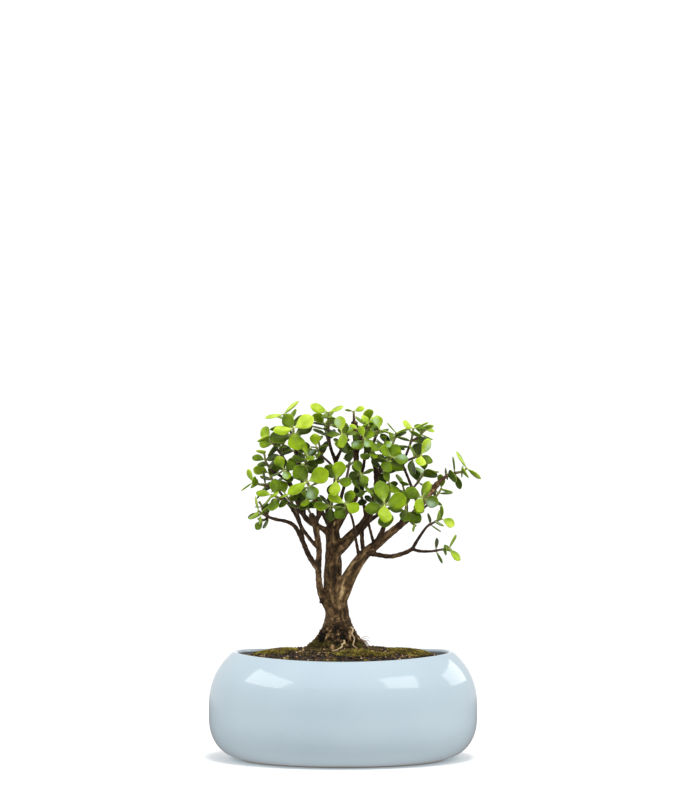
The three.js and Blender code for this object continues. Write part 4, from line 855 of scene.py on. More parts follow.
def turned_rings(profile, sides):
    """Rings round Z for a profile of (radius, z), dipped with the lip."""
    angles = turns(sides)
    rings = []
    for radius, z in profile:
        x, y = radius * np.cos(angles), radius * np.sin(angles)
        rings.append(np.column_stack([x, y, z - lip_dip(y, np.full(sides, z))]))
    return np.array(rings)


def bowl_profile():
    """The bowl's (radius, z) from the foot's middle, up the outside, over the lip and down the inside."""
    low = [0.5 * WIDEST_Z * (1 - math.cos(math.pi * i / LOW_STEPS)) for i in range(1, LOW_STEPS)]
    lip_start = LIP_Z - LIP_START * LIP_ROUND
    high = [mix(WIDEST_Z, lip_start, i / HIGH_STEPS) for i in range(HIGH_STEPS + 1)]
    outside = [(outer_radius(z), z) for z in low + high]
    # The lip is an arc that goes on from the outside's slope.
    lean = math.atan2(outer_radius(lip_start - SLOPE_STEP) - outer_radius(lip_start), SLOPE_STEP)
    centre = (outside[-1][0] - LIP_ROUND * math.cos(lean), lip_start - LIP_ROUND * math.sin(lean))
    lip = []
    for i in range(1, LIP_STEPS + 1):
        angle = mix(lean, math.pi, i / LIP_STEPS)
        lip.append((centre[0] + LIP_ROUND * math.cos(angle), centre[1] + LIP_ROUND * math.sin(angle)))
    wall = [mix(*INNER_Z, i / INNER_STEPS) for i in range(INNER_STEPS + 1)]
    inside = [(outer_radius(z) - WALL, z) for z in wall]
    bevel_in, bevel_up = FOOT_BEVEL
    foot = [(CENTRE_RING, 0), (0.5 * FOOT_RADIUS, 0), (FOOT_RADIUS - FOOT_EDGE, 0),
            (FOOT_RADIUS - bevel_in, bevel_up)]
    floor = [(FOOT_RADIUS - WALL, FLOOR_Z), (0.5 * FOOT_RADIUS, FLOOR_Z), (CENTRE_RING, FLOOR_Z)]
    return foot + outside + lip + inside + floor


def make_bowl():
    heap = Heap()
    heap.loft(turned_rings(bowl_profile(), BOWL_SIDES))
    skins = [glaze_material(), clay_foot_and_shadow_material()]
    bowl = place_piece("glazed_bowl", heap.mesh("glazed_bowl"), skins, ["bowl"])
    drills = Heap()
    for i in range(DRAINS):
        angle = math.pi / 2 + 2 * math.pi * i / DRAINS
        at = np.array([DRAIN_CIRCLE * math.cos(angle), DRAIN_CIRCLE * math.sin(angle), 0])
        ends = np.array([at - (0, 0, DRILL_BELOW), at + (0, 0, 2 * FLOOR_Z)])
        drills.loft(rings_along(ends, [DRAIN_RADIUS] * 2, 40))
    cut_out(bowl, drills.mesh("drills"))
    for face in bowl.data.polygons:
        face.use_smooth = True
        face.material_index = 1 if face.center.z < BARE_BELOW_Z else 0


# Soil
def mound(radius):
    return SOIL_EDGE_Z + (SOIL_CROWN_Z - SOIL_EDGE_Z) * (1 - (radius / SOIL_RADIUS) ** 2)


def soil_height(x, y):
    z = mound(np.hypot(x, y))
    return z - lip_dip(y, z)


def root_swell(angles, z):
    """How far the flare's lobes and knobs push its radius out at a height, as a factor."""
    fade = min(1, max(0, (FLARE_TOP_Z - z) / FLARE_FADE))
    lobes = LOBE_DEPTH * np.cos(ROOT_LOBES * angles + LOBE_TURN)
    lobes = lobes + FLARE_SKEW * np.cos(2 * angles + SKEW_TURN)
    knobs = sum(depth * np.cos(waves * angles + z * turn) for waves, depth, turn in KNOBS)
    return 1 + fade * lobes + knobs


def clods(x, y):
    """Height of the crumbs that the soil's skin shows."""
    coarse = noise.fractal(Vector((x * 260, y * 260, 2.0)), 0.7, 2.1, 4)
    return CLOD_HEIGHTS[0] * coarse + CLOD_HEIGHTS[1] * bumps(x, y, 1500, 5.0)


def add_grain(heap, centre, size, tone, rng):
    """A small angular stone or crumb."""
    points = []
    for x, y, z in ((1, 0, 0), (-1, 0, 0), (0, 1, 0), (0, -1, 0), (0, 0, 1), (0, 0, -1)):
        stretch = rng.uniform(0.65, 1.25)
        points.append(np.array([x, y, z * GRAIN_FLATNESS]) * size * stretch)
    turn = rng.uniform(0, 2 * math.pi)
    spin = np.array([[math.cos(turn), -math.sin(turn), 0], [math.sin(turn), math.cos(turn), 0], [0, 0, 1]])
    points = np.array(points) @ spin.T + centre
    faces = [(0, 2, 4), (2, 1, 4), (1, 3, 4), (3, 0, 4), (2, 0, 5), (1, 2, 5), (3, 1, 5), (0, 3, 5)]
    heap.add(points, faces, tone=tone)


def on_soil(rng, least, most=LOOSE_REACH):
    """A place by chance on the soil, between two distances from the axis."""
    radius = math.sqrt(rng.uniform(least**2, most**2))
    angle = rng.uniform(0, 2 * math.pi)
    x, y = radius * math.cos(angle), radius * math.sin(angle)
    return x, y, float(soil_height(x, y))


def make_soil():
    edge = outer_radius(SOIL_EDGE_Z) - WALL - 2 * SEAT_GAP
    bottom = [(CENTRE_RING, FLOOR_Z + SEAT_GAP), (FOOT_RADIUS - WALL - 2 * SEAT_GAP, FLOOR_Z + SEAT_GAP)]
    side = [(outer_radius(z) - WALL - SEAT_GAP, z) for z in SOIL_SIDE_Z]
    top = [edge * (1 - i / SOIL_RINGS) for i in range(SOIL_RINGS)]
    rings = turned_rings(bottom + side + [(radius, mound(radius)) for radius in top], SOIL_SIDES)
    for ring in rings[len(bottom) + len(side) + 1:]:
        for point in ring:
            point[2] += clods(point[0], point[1])
    heap = Heap()
    heap.loft(rings, tone=SOIL_TONE)
    material = soil_material()
    soil = place_piece("potting_soil", heap.mesh("potting_soil"), [material], ["soil"])
    cut_out(soil, hole_mesh())
    make_grit(material)


def add_fibre(heap, start, rng):
    """A bit of root or bark lying on the soil."""
    heading = rng.uniform(0, 2 * math.pi)
    length = rng.uniform(0.002, 0.006)
    radius = rng.uniform(0.00012, 0.0003)
    places = []
    for i in range(4):
        bend = heading + 0.5 * math.sin(i + heading)
        step = np.array([math.cos(bend), math.sin(bend), rng.uniform(-0.08, 0.1)]) * length / 3
        places.append(start if not places else places[-1] + step)
    tone = rng.choice((0.3, 0.55, 0.8, 0.9))
    heap.loft(rings_along(np.array(places), [radius, radius, radius, 0.5 * radius], 5), tone=tone)


def make_grit(material):
    """Loose grains, stones and fibres on the soil."""
    rng = random.Random(7)
    heap = Heap()
    for _ in range(GRAINS):
        x, y, z = on_soil(rng, 0.018)
        size = rng.choice(GRAIN_SIZES) * rng.uniform(0.8, 1.3)
        tone = rng.choice(GRAIN_TONES)
        if rng.random() < PALE_GRAINS:
            tone = PALE_TONE
        add_grain(heap, (x, y, z + 0.3 * size), size, tone, rng)
    for _ in range(FIBRES):
        x, y, z = on_soil(rng, 0.02)
        add_fibre(heap, np.array([x, y, z + 0.0006]), rng)
    place_piece("soil_grit", heap.mesh("soil_grit"), [material])


def hole_mesh():
    """The buried trunk and flare, a gap wider, run on up through the soil's top."""
    buried = np.array([point for point in TRUNK if point[2] <= ROOT_TOP_Z])
    buried[0, 2] -= HOLE_GAP
    rings = rings_along(buried[:, :3], buried[:, 3] + HOLE_GAP, 56, root_swell, level=True)
    heap = Heap()
    heap.loft(np.concatenate([rings, rings[-1:] + (0, 0, HOLE_HEADROOM)]))
    return heap.mesh("root_hole")


# Moss
def cushion_spot(form, share, angle):
    """Where a place on a cushion lies, and the cushion's height there over the soil."""
    (cx, cy), (long_half, short_half) = form["at"], form["half"]
    turn = math.radians(form["turn"])
    wave = 1
    for (lobes, depth), phase in zip(MOSS_LOBES, (cx * 1000, cy * 1000)):
        wave += depth * math.cos(lobes * angle + phase)
    u = long_half * share * wave * math.cos(angle)
    v = short_half * share * wave * math.sin(angle)
    x = cx + u * math.cos(turn) - v * math.sin(turn)
    y = cy + u * math.sin(turn) + v * math.cos(turn)
    lumps = 1 + 0.28 * bumps(x, y, 330, 1.0) + 0.2 * bumps(x, y, 900, 4.0)
    return x, y, form["height"] * math.sqrt(max(0, 1 - share**2)) * lumps


def add_tuft(heap, at, tone, rng):
    """A tuft of moss: a three-sided spike that leans."""
    height = rng.uniform(*TUFT_HEIGHT)
    width = rng.uniform(*TUFT_WIDTH)
    lean = np.array([rng.uniform(-0.5, 0.5), rng.uniform(-0.5, 0.5), 1]) * height
    turn = rng.uniform(0, 2 * math.pi)
    base = [at + width * np.array([math.cos(turn + a), math.sin(turn + a), -0.8]) for a in (0, 2.1, 4.2)]
    heap.add([*base, at + lean], [(0, 1, 3), (1, 2, 3), (2, 0, 3), (0, 2, 1)],
             tone=np.array([tone - 0.25] * 3 + [tone + 0.2]))


def make_cushion(name, form, material):
    """A cushion: a closed skin on the soil, with tufts all over it."""
    rng = random.Random(name)
    heap = Heap()
    upper, lower = [], []
    for ring in range(1, CUSHION_RINGS + 1):
        share = ring / CUSHION_RINGS
        angles = [2 * math.pi * side / CUSHION_SIDES for side in range(CUSHION_SIDES)]
        row = [cushion_spot(form, share, angle) for angle in angles]
        under = [float(soil_height(x, y)) + SEAT_GAP for x, y, _ in row]
        upper.append([(x, y, z + rise) for (x, y, rise), z in zip(row, under)])
        lower.append([(x, y, z) for (x, y, _), z in zip(row, under)])
    heap.loft(np.array(lower[:-1] + upper[::-1]), tone=CUSHION_TONE)
    area = math.pi * form["half"][0] * form["half"][1] * 1e6
    for _ in range(int(area * TUFTS_PER_SQUARE_MM)):
        share, angle = math.sqrt(rng.random()), rng.uniform(0, 2 * math.pi)
        x, y, rise = cushion_spot(form, CUSHION_EDGE * share, angle)
        at = np.array([x, y, float(soil_height(x, y)) + SEAT_GAP + rise])
        patch = 0.3 * bumps(x, y, 150, 9.0)
        add_tuft(heap, at, 0.5 + patch + rng.uniform(-0.24, 0.24), rng)
    place_piece(f"{name}_tufts", heap.mesh(name), [material], [name])


def make_loose_moss(material):
    """Thin moss that has crept over the soil round the trunk and between the cushions."""
    rng = random.Random("loose moss")
    heap = Heap()
    for _ in range(CREEPING_TUFTS):
        x, y, z = on_soil(rng, 0.021, 0.076)
        spread = bumps(x, y, 70, 3.0) + 0.5 * bumps(x, y, 210, 6.0)
        near = math.exp(-((math.hypot(x, y) - 0.022) / 0.012) ** 2)
        if spread + 0.55 * near + rng.uniform(-0.15, 0.15) < 0.28:
            continue
        add_tuft(heap, np.array([x, y, z + clods(x, y)]), 0.42 + 0.4 * spread, rng)
    place_piece("creeping_moss", heap.mesh("creeping_moss"), [material])


# Growth of shoots and leaves
def stem(points, bare, girth, pair_count, **habit):
    """A stem: points along it, where its bare wood ends, and where its pairs of leaves grow."""
    places = catmull_rom(points, CURVE_STEPS)
    along = lengths_along(places)
    path = dict(habit, places=places, along=along, length=along[-1], girth=girth,
                bare_length=along[bare * CURVE_STEPS], pairs=[])
    at = path["length"] - TIP_PAIR_BACK
    for pair in range(pair_count):
        if at <= path["bare_length"] + FIRST_PAIR_AFTER:
            break
        path["pairs"].append(at)
        at -= PAIR_GAP + PAIR_GAP_GROWTH * pair
    return path


def stems_of(shoot):
    """A shoot's stems: its own, then the side shoots that grow in the axils of its oldest leaves."""
    main = stem(shoot["path"], shoot["bare"], shoot["girth"], shoot["pairs"], leaf=shoot["leaf"],
                turn=shoot["turn"], open=shoot["open"], facing=shoot["facing"])
    stems = [main]
    for number in range(shoot["sides"]):
        pair = len(main["pairs"]) - 1 - number // 2
        if pair < 0:
            break
        stems.append(side_stem(shoot, main, pair, number % 2 == 1))
    return stems


def side_stem(shoot, main, pair, second):
    """The first side shoot at a pair grows from the axil that has more light, the second opposite it."""
    at, tangent = place_at(main, main["pairs"][pair])
    light = light_at(at, FACING)
    out = outward(tangent, math.radians(shoot["turn"] + 90 * pair))
    if (out @ light < 0) != second:
        out = -out
    heading = unit(out * math.sin(SIDE_OPEN) + tangent * math.cos(SIDE_OPEN))
    reach = SIDE_REACH * shoot["leaf"]
    points = [at, at + heading * 0.5 * reach, at + heading * SIDE_OUT * reach + light * SIDE_LIFT * reach]
    return stem(points, 0, radius_at(main, main["pairs"][pair]), SIDE_PAIRS, leaf=SIDE_LEAF * shoot["leaf"],
                turn=shoot["turn"] + 45, open=shoot["open"], facing=FACING)


def radius_at(path, along):
    return mix(path["girth"], TWIG_TIP_RADIUS, along / path["length"])


def place_at(path, along):
    i = min(max(int(np.searchsorted(path["along"], along)), 1), len(path["along"]) - 1)
    before, after = path["places"][i - 1], path["places"][i]
    share = (along - path["along"][i - 1]) / (path["along"][i] - path["along"][i - 1])
    return mix(before, after, share), unit(after - before)


def half_width(share, length):
    return 0.5 * LEAF_WIDTH * length * np.sin(math.pi * np.asarray(share) ** LEAF_TAPER) ** LEAF_FULLNESS


def outward(tangent, angle):
    """The direction square to a tangent at an angle round it, from as near upright as it can be."""
    toward = np.array([1.0, 0, 0]) if abs(tangent[2]) > 0.9 else np.array([0, 0, 1.0])
    first = unit(toward - tangent * (toward @ tangent))
    return first * math.cos(angle) + np.cross(tangent, first) * math.sin(angle)


def light_at(at, facing):
    """Where the light comes from for a leaf there, as a direction."""
    return unit(np.array([at[0] / LIGHT_REACH, -facing if at[1] < BACK_Y else BACK_FACING, LIGHT_UP]))


def leaf_frame(at, tangent, radius, angle, opening, roll, length, facing):
    out = outward(tangent, angle)
    midrib = unit(out * math.sin(opening) + tangent * math.cos(opening))
    face = tangent * math.sin(opening) - out * math.cos(opening) + LIGHT_PULL * light_at(at, facing)
    face = turned_about(unit(face - midrib * (face @ midrib)), midrib, roll)
    leaf = dict(root=at + midrib * 0.5 * radius, midrib=midrib, face=face, across=np.cross(face, midrib),
                length=length, radius=radius)
    leaf["probes"] = np.array([
        leaf["root"] + midrib * share * length + leaf["across"] * side * half_width(share, length)
        for share, side in PROBES])
    return leaf


def enters_lens(leaf, probes):
    offset = probes - (leaf["root"] + leaf["midrib"] * 0.5 * leaf["length"])
    u = offset @ leaf["midrib"] / (0.5 * leaf["length"] + LENS_MARGIN)
    v = offset @ leaf["across"] / (0.5 * LEAF_WIDTH * leaf["length"] + LENS_MARGIN)
    w = offset @ leaf["face"] / LENS_CLEAR
    return bool(np.any(u * u + v * v + w * w < 1))


def bones_of_wood(paths):
    """Short straight pieces of all the wood: start, end, radius and owner."""
    bones = []

    def add_line(owner, places, radii):
        for i in range(1, len(places)):
            bones.append((owner, places[i - 1], places[i], radii[i - 1]))

    for name, points in {"trunk": TRUNK, **LIMBS}.items():
        points = np.array(points, float)
        add_line(name, points[:, :3], points[:, 3])
    for name, stems in paths.items():
        for path in stems:
            add_line(name, path["places"][::2], [radius_at(path, at) for at in path["along"][::2]])
    owners = np.array([bone[0] for bone in bones])
    starts, ends = np.array([bone[1] for bone in bones]), np.array([bone[2] for bone in bones])
    return owners, starts, ends - starts, np.array([bone[3] for bone in bones])


def near_bone(probes, bones, owner):
    owners, starts, spans, radii = bones
    offset = probes[:, None, :] - starts[None]
    share = np.clip((offset * spans).sum(axis=2) / (spans * spans).sum(axis=1), 0, 1)
    distance = np.linalg.norm(offset - spans * share[..., None], axis=2)
    return bool(np.any((distance < radii + TWIG_CLEAR) & (owners != owner)))


def grow_leaves(paths):
    """The same leaves as the solids have: each gives way until it is clear of all before it."""
    state = LEAF_SEED

    def draw():
        """The next number of a Lehmer generator, from 0 to 1."""
        nonlocal state
        state = (state * 16807) % 2147483647
        return state / 2147483647

    bones = bones_of_wood(paths)
    grown = {name: [] for name in paths}
    everything = []

    def is_clear(leaf, owner):
        if near_bone(leaf["probes"], bones, owner):
            return False
        for other in everything:
            reach = other["length"] + leaf["length"] + REACH_MARGIN
            if np.linalg.norm(other["root"] - leaf["root"]) > reach:
                continue
            if enters_lens(other, leaf["probes"]) or enters_lens(leaf, other["probes"]):
                return False
        return True

    for name, stems in paths.items():
        for path in stems:
            for pair in range(len(path["pairs"])):
                for opposite in (0, 180):
                    ways = ways_to_grow(path, pair, opposite, draw)
                    leaf = next((way for way in ways if is_clear(way, name)), None)
                    if leaf:
                        leaf["pair"] = pair
                        everything.append(leaf)
                        grown[name].append(leaf)
    return grown


def ways_to_grow(path, pair, opposite, draw):
    """The ways in which one leaf of a pair may grow, the best first."""
    along = path["pairs"][pair]
    at, tangent = place_at(path, along)
    facing = path["facing"] if pair == 0 else FACING
    spread = min(MOST_OPEN, path["open"] + OPEN_GROWTH * pair)
    angle = path["turn"] + 90 * pair + opposite + ANGLE_SPREAD * (draw() - 0.5)
    opening = math.radians(spread + OPEN_SPREAD * (draw() - 0.5))
    length = path["leaf"] * (SHORTEST + LENGTH_SPREAD * draw())
    roll = math.radians(LEAF_ROLL * (2 * draw() - 1))
    return (leaf_frame(at, tangent, radius_at(path, along), math.radians(angle + give), opening, roll,
                       length * size, facing)
            for size in SIZES for give in GIVES)


# Fine leaves and stems
def rounded(wave):
    """A sine or cosine that makes a section a little squarer than an oval."""
    return np.sign(wave) * np.abs(wave) ** SECTION_POWER


def add_leaf(heap, leaf, rng):
    """A fleshy blade: closed oval sections from the stem to the rounded tip, a little folded and bent."""
    length, radius = leaf["length"], leaf["radius"]
    shares = np.array([0.5 - 0.5 * math.cos(math.pi * (i + 0.35) / (LEAF_RINGS - 0.3))
                       for i in range(LEAF_RINGS)])
    shares[0] = 0
    angles = turns(LEAF_SIDES)
    side, lift = rounded(np.cos(angles)), rounded(np.sin(angles))
    bend = rng.uniform(*BEND) * length
    fold = rng.uniform(*FOLD)
    twist = rng.uniform(*TWIST)
    # One half of the blade is painted paler and the other darker, as light falls on the fold: painted light
    # and shade.
    painted_fold_shade, tip_tone = rng.uniform(-0.14, 0.14), rng.uniform(-0.1, 0.3)
    # A few leaves get a pale patch of painted sheen on one half, standing for a reflection.
    sheen_strength = PAINTED_SHEEN_LEVEL if rng.random() < PAINTED_SHEEN_SHARE else 0.0
    sheen_side = rng.choice((-0.5, 0.5))
    rings, looks = [], dict(tone=[], rim=[], rib=[], under=[], painted_sheen=[])
    for share in shares:
        foot = float(smooth(0, 0.3, share))
        width = max(half_width(share, length) * mix(FOOT_WIDTH, 1, foot), 0.45 * radius * (1 - share))
        thick = 0.5 * LEAF_THICKNESS * length * LEAF_FILL * float((1 - abs(2 * share - 1) ** 3.5)) ** 0.5
        thick = max(thick, 0.42 * radius * (1 - share))
        rise = thick * lift + fold * width * (np.abs(side) - 0.5)
        rise = rise + bend * ((2 * share - 1) ** 2 - 0.5) * foot + twist * width * side * share
        rings.append(leaf["root"] + leaf["midrib"] * share * length
                     + np.outer(width * side, leaf["across"]) + np.outer(rise, leaf["face"]))
        sheen_patch = np.exp(-(((side - sheen_side) / 0.5) ** 2 + ((share - 0.6) / 0.3) ** 2))
        looks["tone"].append(painted_fold_shade * side + tip_tone * (share - 0.5))
        looks["rim"].append(np.maximum(np.abs(side) ** 6, smooth(RIM_FROM, 1, share)))
        looks["rib"].append(np.exp(-((side / RIB_HALF_WIDTH) ** 2)) * (1 - share) * (lift > 0) + (1 - foot))
        # Painted shade: how far a point lies on the blade's underside.
        looks["under"].append(np.clip(-lift, 0, 1))
        looks["painted_sheen"].append(sheen_strength * sheen_patch * (lift > 0))
    looks = {name: np.array(rows) for name, rows in looks.items()}
    looks["tone"] = tone_of(leaf, rng) + looks["tone"]
    heap.loft(np.array(rings), 1, **looks)


def tone_of(leaf, rng):
    """How pale a leaf is: by its pair, partly painted light, a little by chance, with painted light up the
    tree and painted shade inside it.
    """
    tone = TONE_OF_PAIR[min(leaf["pair"], len(TONE_OF_PAIR) - 1)] + rng.uniform(-0.15, 0.15)
    inward = 1 - min(1, float(np.linalg.norm((leaf["root"] - CROWN_MIDDLE) / CROWN_REACH)))
    tone += PAINTED_LIGHT_PER_METRE * (leaf["root"][2] - CROWN_MIDDLE[2]) - PAINTED_INNER_SHADE * inward
    return tone


def stretch_of(path, start, end, count):
    """That many places on a stem between two lengths along it, with the lengths and the radii there."""
    alongs = np.linspace(start, end, count)
    places = np.array([place_at(path, along)[0] for along in alongs])
    return places, alongs, np.array([radius_at(path, along) for along in alongs])


def add_stem(heap, path):
    """The green end of a shoot, with a swelling where each pair grows."""
    start = max(0, path["bare_length"] - STEM_OVERLAP)
    count = max(8, int((path["length"] - start) / STEM_STEP))
    places, alongs, radii = stretch_of(path, start, path["length"], count)
    for along in path["pairs"]:
        radii += NODE_SWELL * np.exp(-(((alongs - along) / NODE_HALF_WIDTH) ** 2))
    tones = np.repeat(smooth(0.35, 1.0, (alongs - start) / (path["length"] - start)), STEM_SIDES)
    heap.loft(rings_along(places, radii, STEM_SIDES), 0, tone=tones)


def make_shoot(shoot_name, stems, leaves, materials):
    rng = random.Random(shoot_name)
    heap = Heap()
    for path in stems:
        add_stem(heap, path)
    for leaf in leaves:
        add_leaf(heap, leaf, rng)
    name = f"shoot_{shoot_name}"
    place_piece(f"{name}_leaves", heap.mesh(name), materials, [name])


# Wood
def with_scars(places, radii):
    """Radii with the low rings that old pairs of leaves have left on thin wood."""
    off = (lengths_along(places) + SCAR_GAP / 2) % SCAR_GAP - SCAR_GAP / 2
    thin = smooth(*SCAR_RADII, radii)
    return radii * (1 + SCAR_RISE * thin * np.exp(-((off / SCAR_HALF_WIDTH) ** 2)))


def wood_lines(paths):
    """Every woody line as places, radii, sides, swelling and how much paler it is painted than the rest, as
    painted light, or darker, as painted shade.
    """
    for name, points in {"trunk": TRUNK, **LIMBS}.items():
        fine = catmull_rom(points, LIMB_STEPS)
        places, radii = fine[:, :3], np.maximum(fine[:, 3], LEAST_RADIUS)
        if name == "trunk":
            yield places, radii, TRUNK_SIDES, root_swell, 0
        else:
            yield places, with_scars(places, radii), LIMB_SIDES, None, LIMB_PAINTED_LIGHT.get(name, 0)
    for path, *_ in paths.values():
        count = max(6, int(path["bare_length"] / 0.0007))
        places, _, radii = stretch_of(path, 0, path["bare_length"], count)
        yield places, with_scars(places, radii + 0.00008), TWIG_SIDES, None, 0


def bark_relief(grain, low):
    """How far the bark stands out, from 0 in a crack to 1 on a plate. grain is a place along the limb."""
    place = Vector([float(value) for value in grain])
    place += 0.0025 * noise.noise_vector(place * 75)
    x, y, z = place
    plates = noise.fractal(Vector((x * 420, y * 420, z * mix(110, 220, low))), 0.7, 2.2, 4)
    cracks = min(0.3, abs(bumps(x, y, 330, z * mix(60, 110, low) + 5)))
    wrinkles = bumps(x, y, 110, z * 620)
    knobs = bumps(x, y, 170, z * 150 + 7)
    value = 0.36 + 0.24 * plates + 0.12 * (1 - low) * wrinkles + mix(0.55, 1.1, low) * cracks
    return min(1, max(0, value + 0.34 * low * knobs))


def grain_of(places, centres, tangents, alongs):
    """Places in their own limb's frame: two measures across it and one along it."""
    side = np.array([0.0, 1, 0]) - tangents * tangents[:, 1:2]
    side /= np.linalg.norm(side, axis=1)[:, None]
    offset = places - centres
    across = (offset * side).sum(axis=1)
    other = (offset * np.cross(tangents, side)).sum(axis=1)
    return np.column_stack([across, other, alongs + (offset * tangents).sum(axis=1)])


def moss_on_bark(places):
    """How mossy the bark is: in patches, on the flare's foot only."""
    patches = np.array([noise.noise(Vector([float(value) for value in place]) * 190) for place in places])
    heights = places[:, 2]
    return 0.85 * smooth(0.0, 0.25, patches + 0.45 * smooth(0.09, 0.082, heights) - 0.15) \
        * smooth(0.1, 0.088, heights)


def make_foot_moss(places, material):
    """Tufts on the mossy part of the flare."""
    rng = random.Random("foot moss")
    heap = Heap()
    for _ in range(FOOT_TUFTS):
        at = places[rng.randrange(len(places))].astype(float)
        patch = 0.35 * noise.noise(Vector(at) * 260)
        add_tuft(heap, at, 0.3 + patch + rng.uniform(-0.15, 0.15), rng)
    place_piece("foot_moss", heap.mesh("foot_moss"), [material])


def loft_wood(paths):
    """All the wood's lines, and a sample at each ring: place, tangent, length along, radius, paleness
    painted for light and shade.
    """
    heap = Heap()
    samples = []
    for number, (places, radii, sides, swell, pale) in enumerate(wood_lines(paths)):
        heap.loft(rings_along(places, radii, sides, swell, level=swell is not None))
        alongs = number * LINE_SHIFT + FIRST_SHIFT + lengths_along(places)
        steps = np.diff(places, axis=0)
        steps = np.vstack([steps, steps[-1:]])
        tangents = steps / np.linalg.norm(steps, axis=1)[:, None]
        samples += zip(places, tangents, alongs, radii, [pale] * len(places))
    return heap, samples


def melt(wood):
    """Turns the wood's lines, which run into each other, into one skin."""
    remesh = wood.modifiers.new("skin", "REMESH")
    remesh.mode = "VOXEL"
    remesh.voxel_size = BARK_VOXEL
    settle = wood.modifiers.new("settle", "SMOOTH")
    settle.factor = 0.5
    settle.iterations = 2
    baked(wood)


def vectors_of(collection, name):
    """A vector of each member, as rows."""
    rows = np.zeros(len(collection) * 3, np.float32)
    collection.foreach_get(name, rows)
    return rows.reshape(-1, 3)


def nearest_samples(places, samples):
    """The samples nearest to the places, as one array for each thing that they tell."""
    tree = kdtree.KDTree(len(samples))
    for i, sample in enumerate(samples):
        tree.insert(Vector(sample[0]), i)
    tree.balance()
    nearest = np.array([tree.find(place)[1] for place in places])
    return [np.array(column)[nearest] for column in zip(*samples)]


def make_wood(paths, moss):
    """The trunk and the limbs as one skin with bark, and moss on its foot."""
    noise.seed_set(BARK_SEED)
    heap, samples = loft_wood(paths)
    wood = place_piece("woody_trunk", heap.mesh("woody_trunk"), [bark_material()],
                       ["trunk_and_branches"])
    melt(wood)
    mesh = wood.data
    places, normals = vectors_of(mesh.vertices, "co"), vectors_of(mesh.vertex_normals, "vector")
    centres, tangents, alongs, radii, pale = nearest_samples(places, samples)
    grain = grain_of(places, centres, tangents, alongs)
    low = smooth(*LOW_Z, places[:, 2])
    relief = np.array([bark_relief(*pair) for pair in zip(grain, low)])
    depth = np.minimum(MOST_RELIEF, RELIEF_OF_RADIUS * radii) * (1 + 0.9 * low)
    tuck = FLARE_TUCK * low * smooth(*TUCK_Z, places[:, 2])
    places += normals * ((relief - MEAN_RELIEF) * depth - tuck)[:, None]
    mesh.vertices.foreach_set("co", places.ravel())
    mossy = moss_on_bark(places)
    looks = dict(relief=relief, low=low, pale=pale, age=smooth(*OLD_RADII, radii), mossy=mossy)
    for name, values in looks.items():
        write_value(mesh, name, values)
    vectors = mesh.attributes.new("grain", "FLOAT_VECTOR", "POINT")
    vectors.data.foreach_set("vector", grain.astype(np.float32).ravel())
    mesh.shade_smooth()
    make_foot_moss(places[mossy > 0.35], moss)
    return wood


def on_flare(skin, angle, z, out):
    """A place that far out from the root flare's skin, at an angle from +X."""
    x, _, heights, radii = np.array(TRUNK).T
    reach = np.interp(z, heights, radii)
    guess = Vector((np.interp(z, heights, x) + reach * math.cos(angle), reach * math.sin(angle), z))
    at, normal, _, _ = skin.find_nearest(guess)
    return np.array(at + normal * out)


def add_root_hair(heap, rng):
    """A fine hair that leaves the flare at its right and falls to the soil in curls."""
    angle = rng.gauss(-0.1, 0.25)
    z = rng.uniform(*HAIR_Z)
    reach = 0.0165 + (HAIR_Z[1] - z) * 0.5
    at = np.array([-0.0032 + reach * math.cos(angle), reach * math.sin(angle), z])
    heading = unit(np.array([math.cos(angle), math.sin(angle), rng.uniform(0.5, 1.7)]))
    places = [at - heading * 0.0014]
    for _ in range(HAIR_STEPS):
        curl = [rng.uniform(-0.3, 0.25), rng.uniform(-0.25, 0.25), rng.uniform(-0.4, 0.02)]
        heading = unit(heading + np.array(curl))
        after = places[-1] + heading * HAIR_STEP
        after[2] = max(after[2], float(soil_height(after[0], after[1])) + 0.0002)
        places.append(after)
    radius = rng.uniform(*HAIR_RADIUS)
    radii = np.linspace(radius, 0.5 * radius, len(places))
    heap.loft(rings_along(np.array(places), radii, 5), tone=0.4)


def make_roots(wood):
    """Fine hairs at the flare's right, and three thicker pale roots on the flare and the soil."""
    rng = random.Random("root hairs")
    heap = Heap()
    for _ in range(ROOT_HAIRS):
        add_root_hair(heap, rng)
    skin = BVHTree.FromObject(wood, bpy.context.evaluated_depsgraph_get())
    for on_wood, on_ground, radius in SURFACE_ROOTS:
        points = [on_flare(skin, angle, z, 0.4 * radius) for angle, z in on_wood]
        points[0] = on_flare(skin, *on_wood[0], -2 * radius)
        points += [(x, y, float(soil_height(x, y)) + 0.6 * radius) for x, y in on_ground]
        places = catmull_rom(points, 6)
        radii = np.linspace(radius, 0.35 * radius, len(places))
        radii = radii * np.array([rng.uniform(0.85, 1.15) for _ in radii])
        heap.loft(rings_along(places, radii, 9), tone=0.66)
    place_piece("surface_roots", heap.mesh("surface_roots"), [root_hair_material()])


# Stage
def add_soft_box(name, direction, distance, size, roll, level):
    """An area light turned by roll degrees, as bright to look at as level says, whatever its size."""
    light = bpy.data.lights.new(name, "AREA")
    light.shape = "RECTANGLE"
    light.size, light.size_y = size
    light.energy = level * math.pi * size[0] * size[1]
    lamp = linked(name, light)
    heading = Vector(direction).normalized()
    lamp.location = Vector((0, 0, LIGHT_AIM_Z)) + heading * distance
    turn = (-heading).to_track_quat("-Z", "Y") @ Quaternion((0, 0, 1), math.radians(roll))
    lamp.rotation_euler = turn.to_euler()


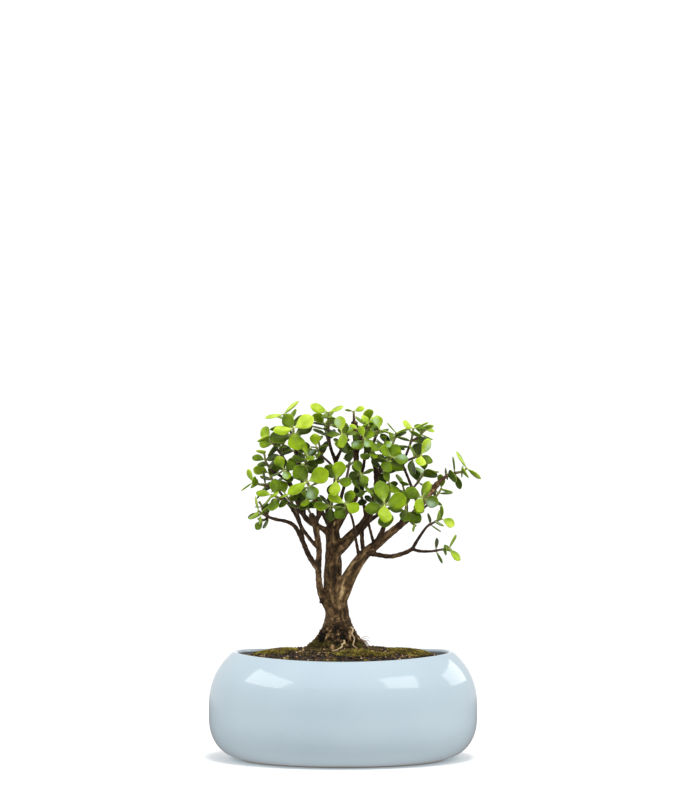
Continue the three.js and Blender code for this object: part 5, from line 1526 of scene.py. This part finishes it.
def add_sun():
    """High soft light that shapes the tree, and isn't mirrored in the glaze."""
    light = bpy.data.lights.new("high_light", "SUN")
    light.energy = SUN_POWER
    light.angle = SUN_SPREAD
    lamp = linked("high_light", light)
    lamp.rotation_euler = (-Vector(SUN_FROM)).to_track_quat("-Z", "Y").to_euler()
    lamp.visible_glossy = False


def make_floor():
    """The floor throws no light back. The studio's lower half lights the bowl evenly in its place."""
    mesh = bpy.data.meshes.new("floor")
    corners = [(x * FLOOR_HALF, y * FLOOR_HALF, 0) for x, y in ((-1, -1), (1, -1), (1, 1), (-1, 1))]
    mesh.from_pydata(corners, [], [(0, 1, 2, 3)])
    floor = linked("floor", mesh)
    floor.location.z = -FLOOR_DROP
    n = Nodes("pale_floor")
    colour = n.ramp(n.noise(3, 1), (0.3, (0.87, 0.87, 0.87)), (0.7, (0.89, 0.89, 0.89)))
    mesh.materials.append(n.finish(colour, 0.9, Specular_IOR_Level=0.1))
    floor.visible_diffuse = False
    floor.visible_glossy = False


def make_studio():
    """Light from all round: the backdrop behind, the room, the sky overhead and what comes from below."""
    n = Nodes("studio", bpy.data.worlds)
    bpy.context.scene.world = n.owner
    split = n.add("SeparateXYZ")
    n.link(n.add("TexCoord").outputs["Generated"], split.inputs["Vector"])
    y, z = split.outputs["Y"], split.outputs["Z"]
    above = n.math("MULTIPLY", n.level(y, *TO_BACKDROP, ROOM_LEVEL, 1), n.level(z, *TO_SKY, 1, SKY_LEVEL))
    above = n.math("MULTIPLY", above, n.level(z, *HORIZON, 0, 1))
    below = n.math("MULTIPLY", n.level(y, *TO_REAR, UNDER_LEVEL, UNDER_SHADE), n.level(z, *HORIZON, 1, 0))
    background = n.tree.nodes["Background"]
    n.link(n.math("ADD", above, below), background.inputs["Color"])
    background.inputs["Strength"].default_value = BACKDROP_LEVEL


def make_stage():
    make_floor()
    make_studio()
    add_sun()
    for name, (direction, distance, size, roll, level) in SOFT_BOXES.items():
        add_soft_box(name, direction, distance, size, roll, level)


def make_camera():
    data = bpy.data.cameras.new("camera")
    data.lens = LENS
    camera = linked("camera", data)
    camera.location = (CAMERA_SIDE, -CAMERA_DISTANCE, CAMERA_HEIGHT)
    aim = Vector((CAMERA_SIDE, 0, AIM_HEIGHT))
    camera.rotation_euler = (aim - camera.location).to_track_quat("-Z", "Y").to_euler()
    bpy.context.scene.camera = camera
    bpy.context.scene.view_settings.view_transform = "Standard"


# Assembly
make_camera()
make_stage()
paths = {name: stems_of(USUAL_SHOOT | shoot) for name, shoot in SHOOTS.items()}
leaves = grow_leaves(paths)
make_bowl()
make_soil()
moss = moss_material()
for name, form in CUSHIONS.items():
    make_cushion(name, form, moss)
make_loose_moss(moss)
make_roots(make_wood(paths, moss))
leaf_skins = [stem_material(), leaf_material()]
for name, stems in paths.items():
    make_shoot(name, stems, leaves[name], leaf_skins)
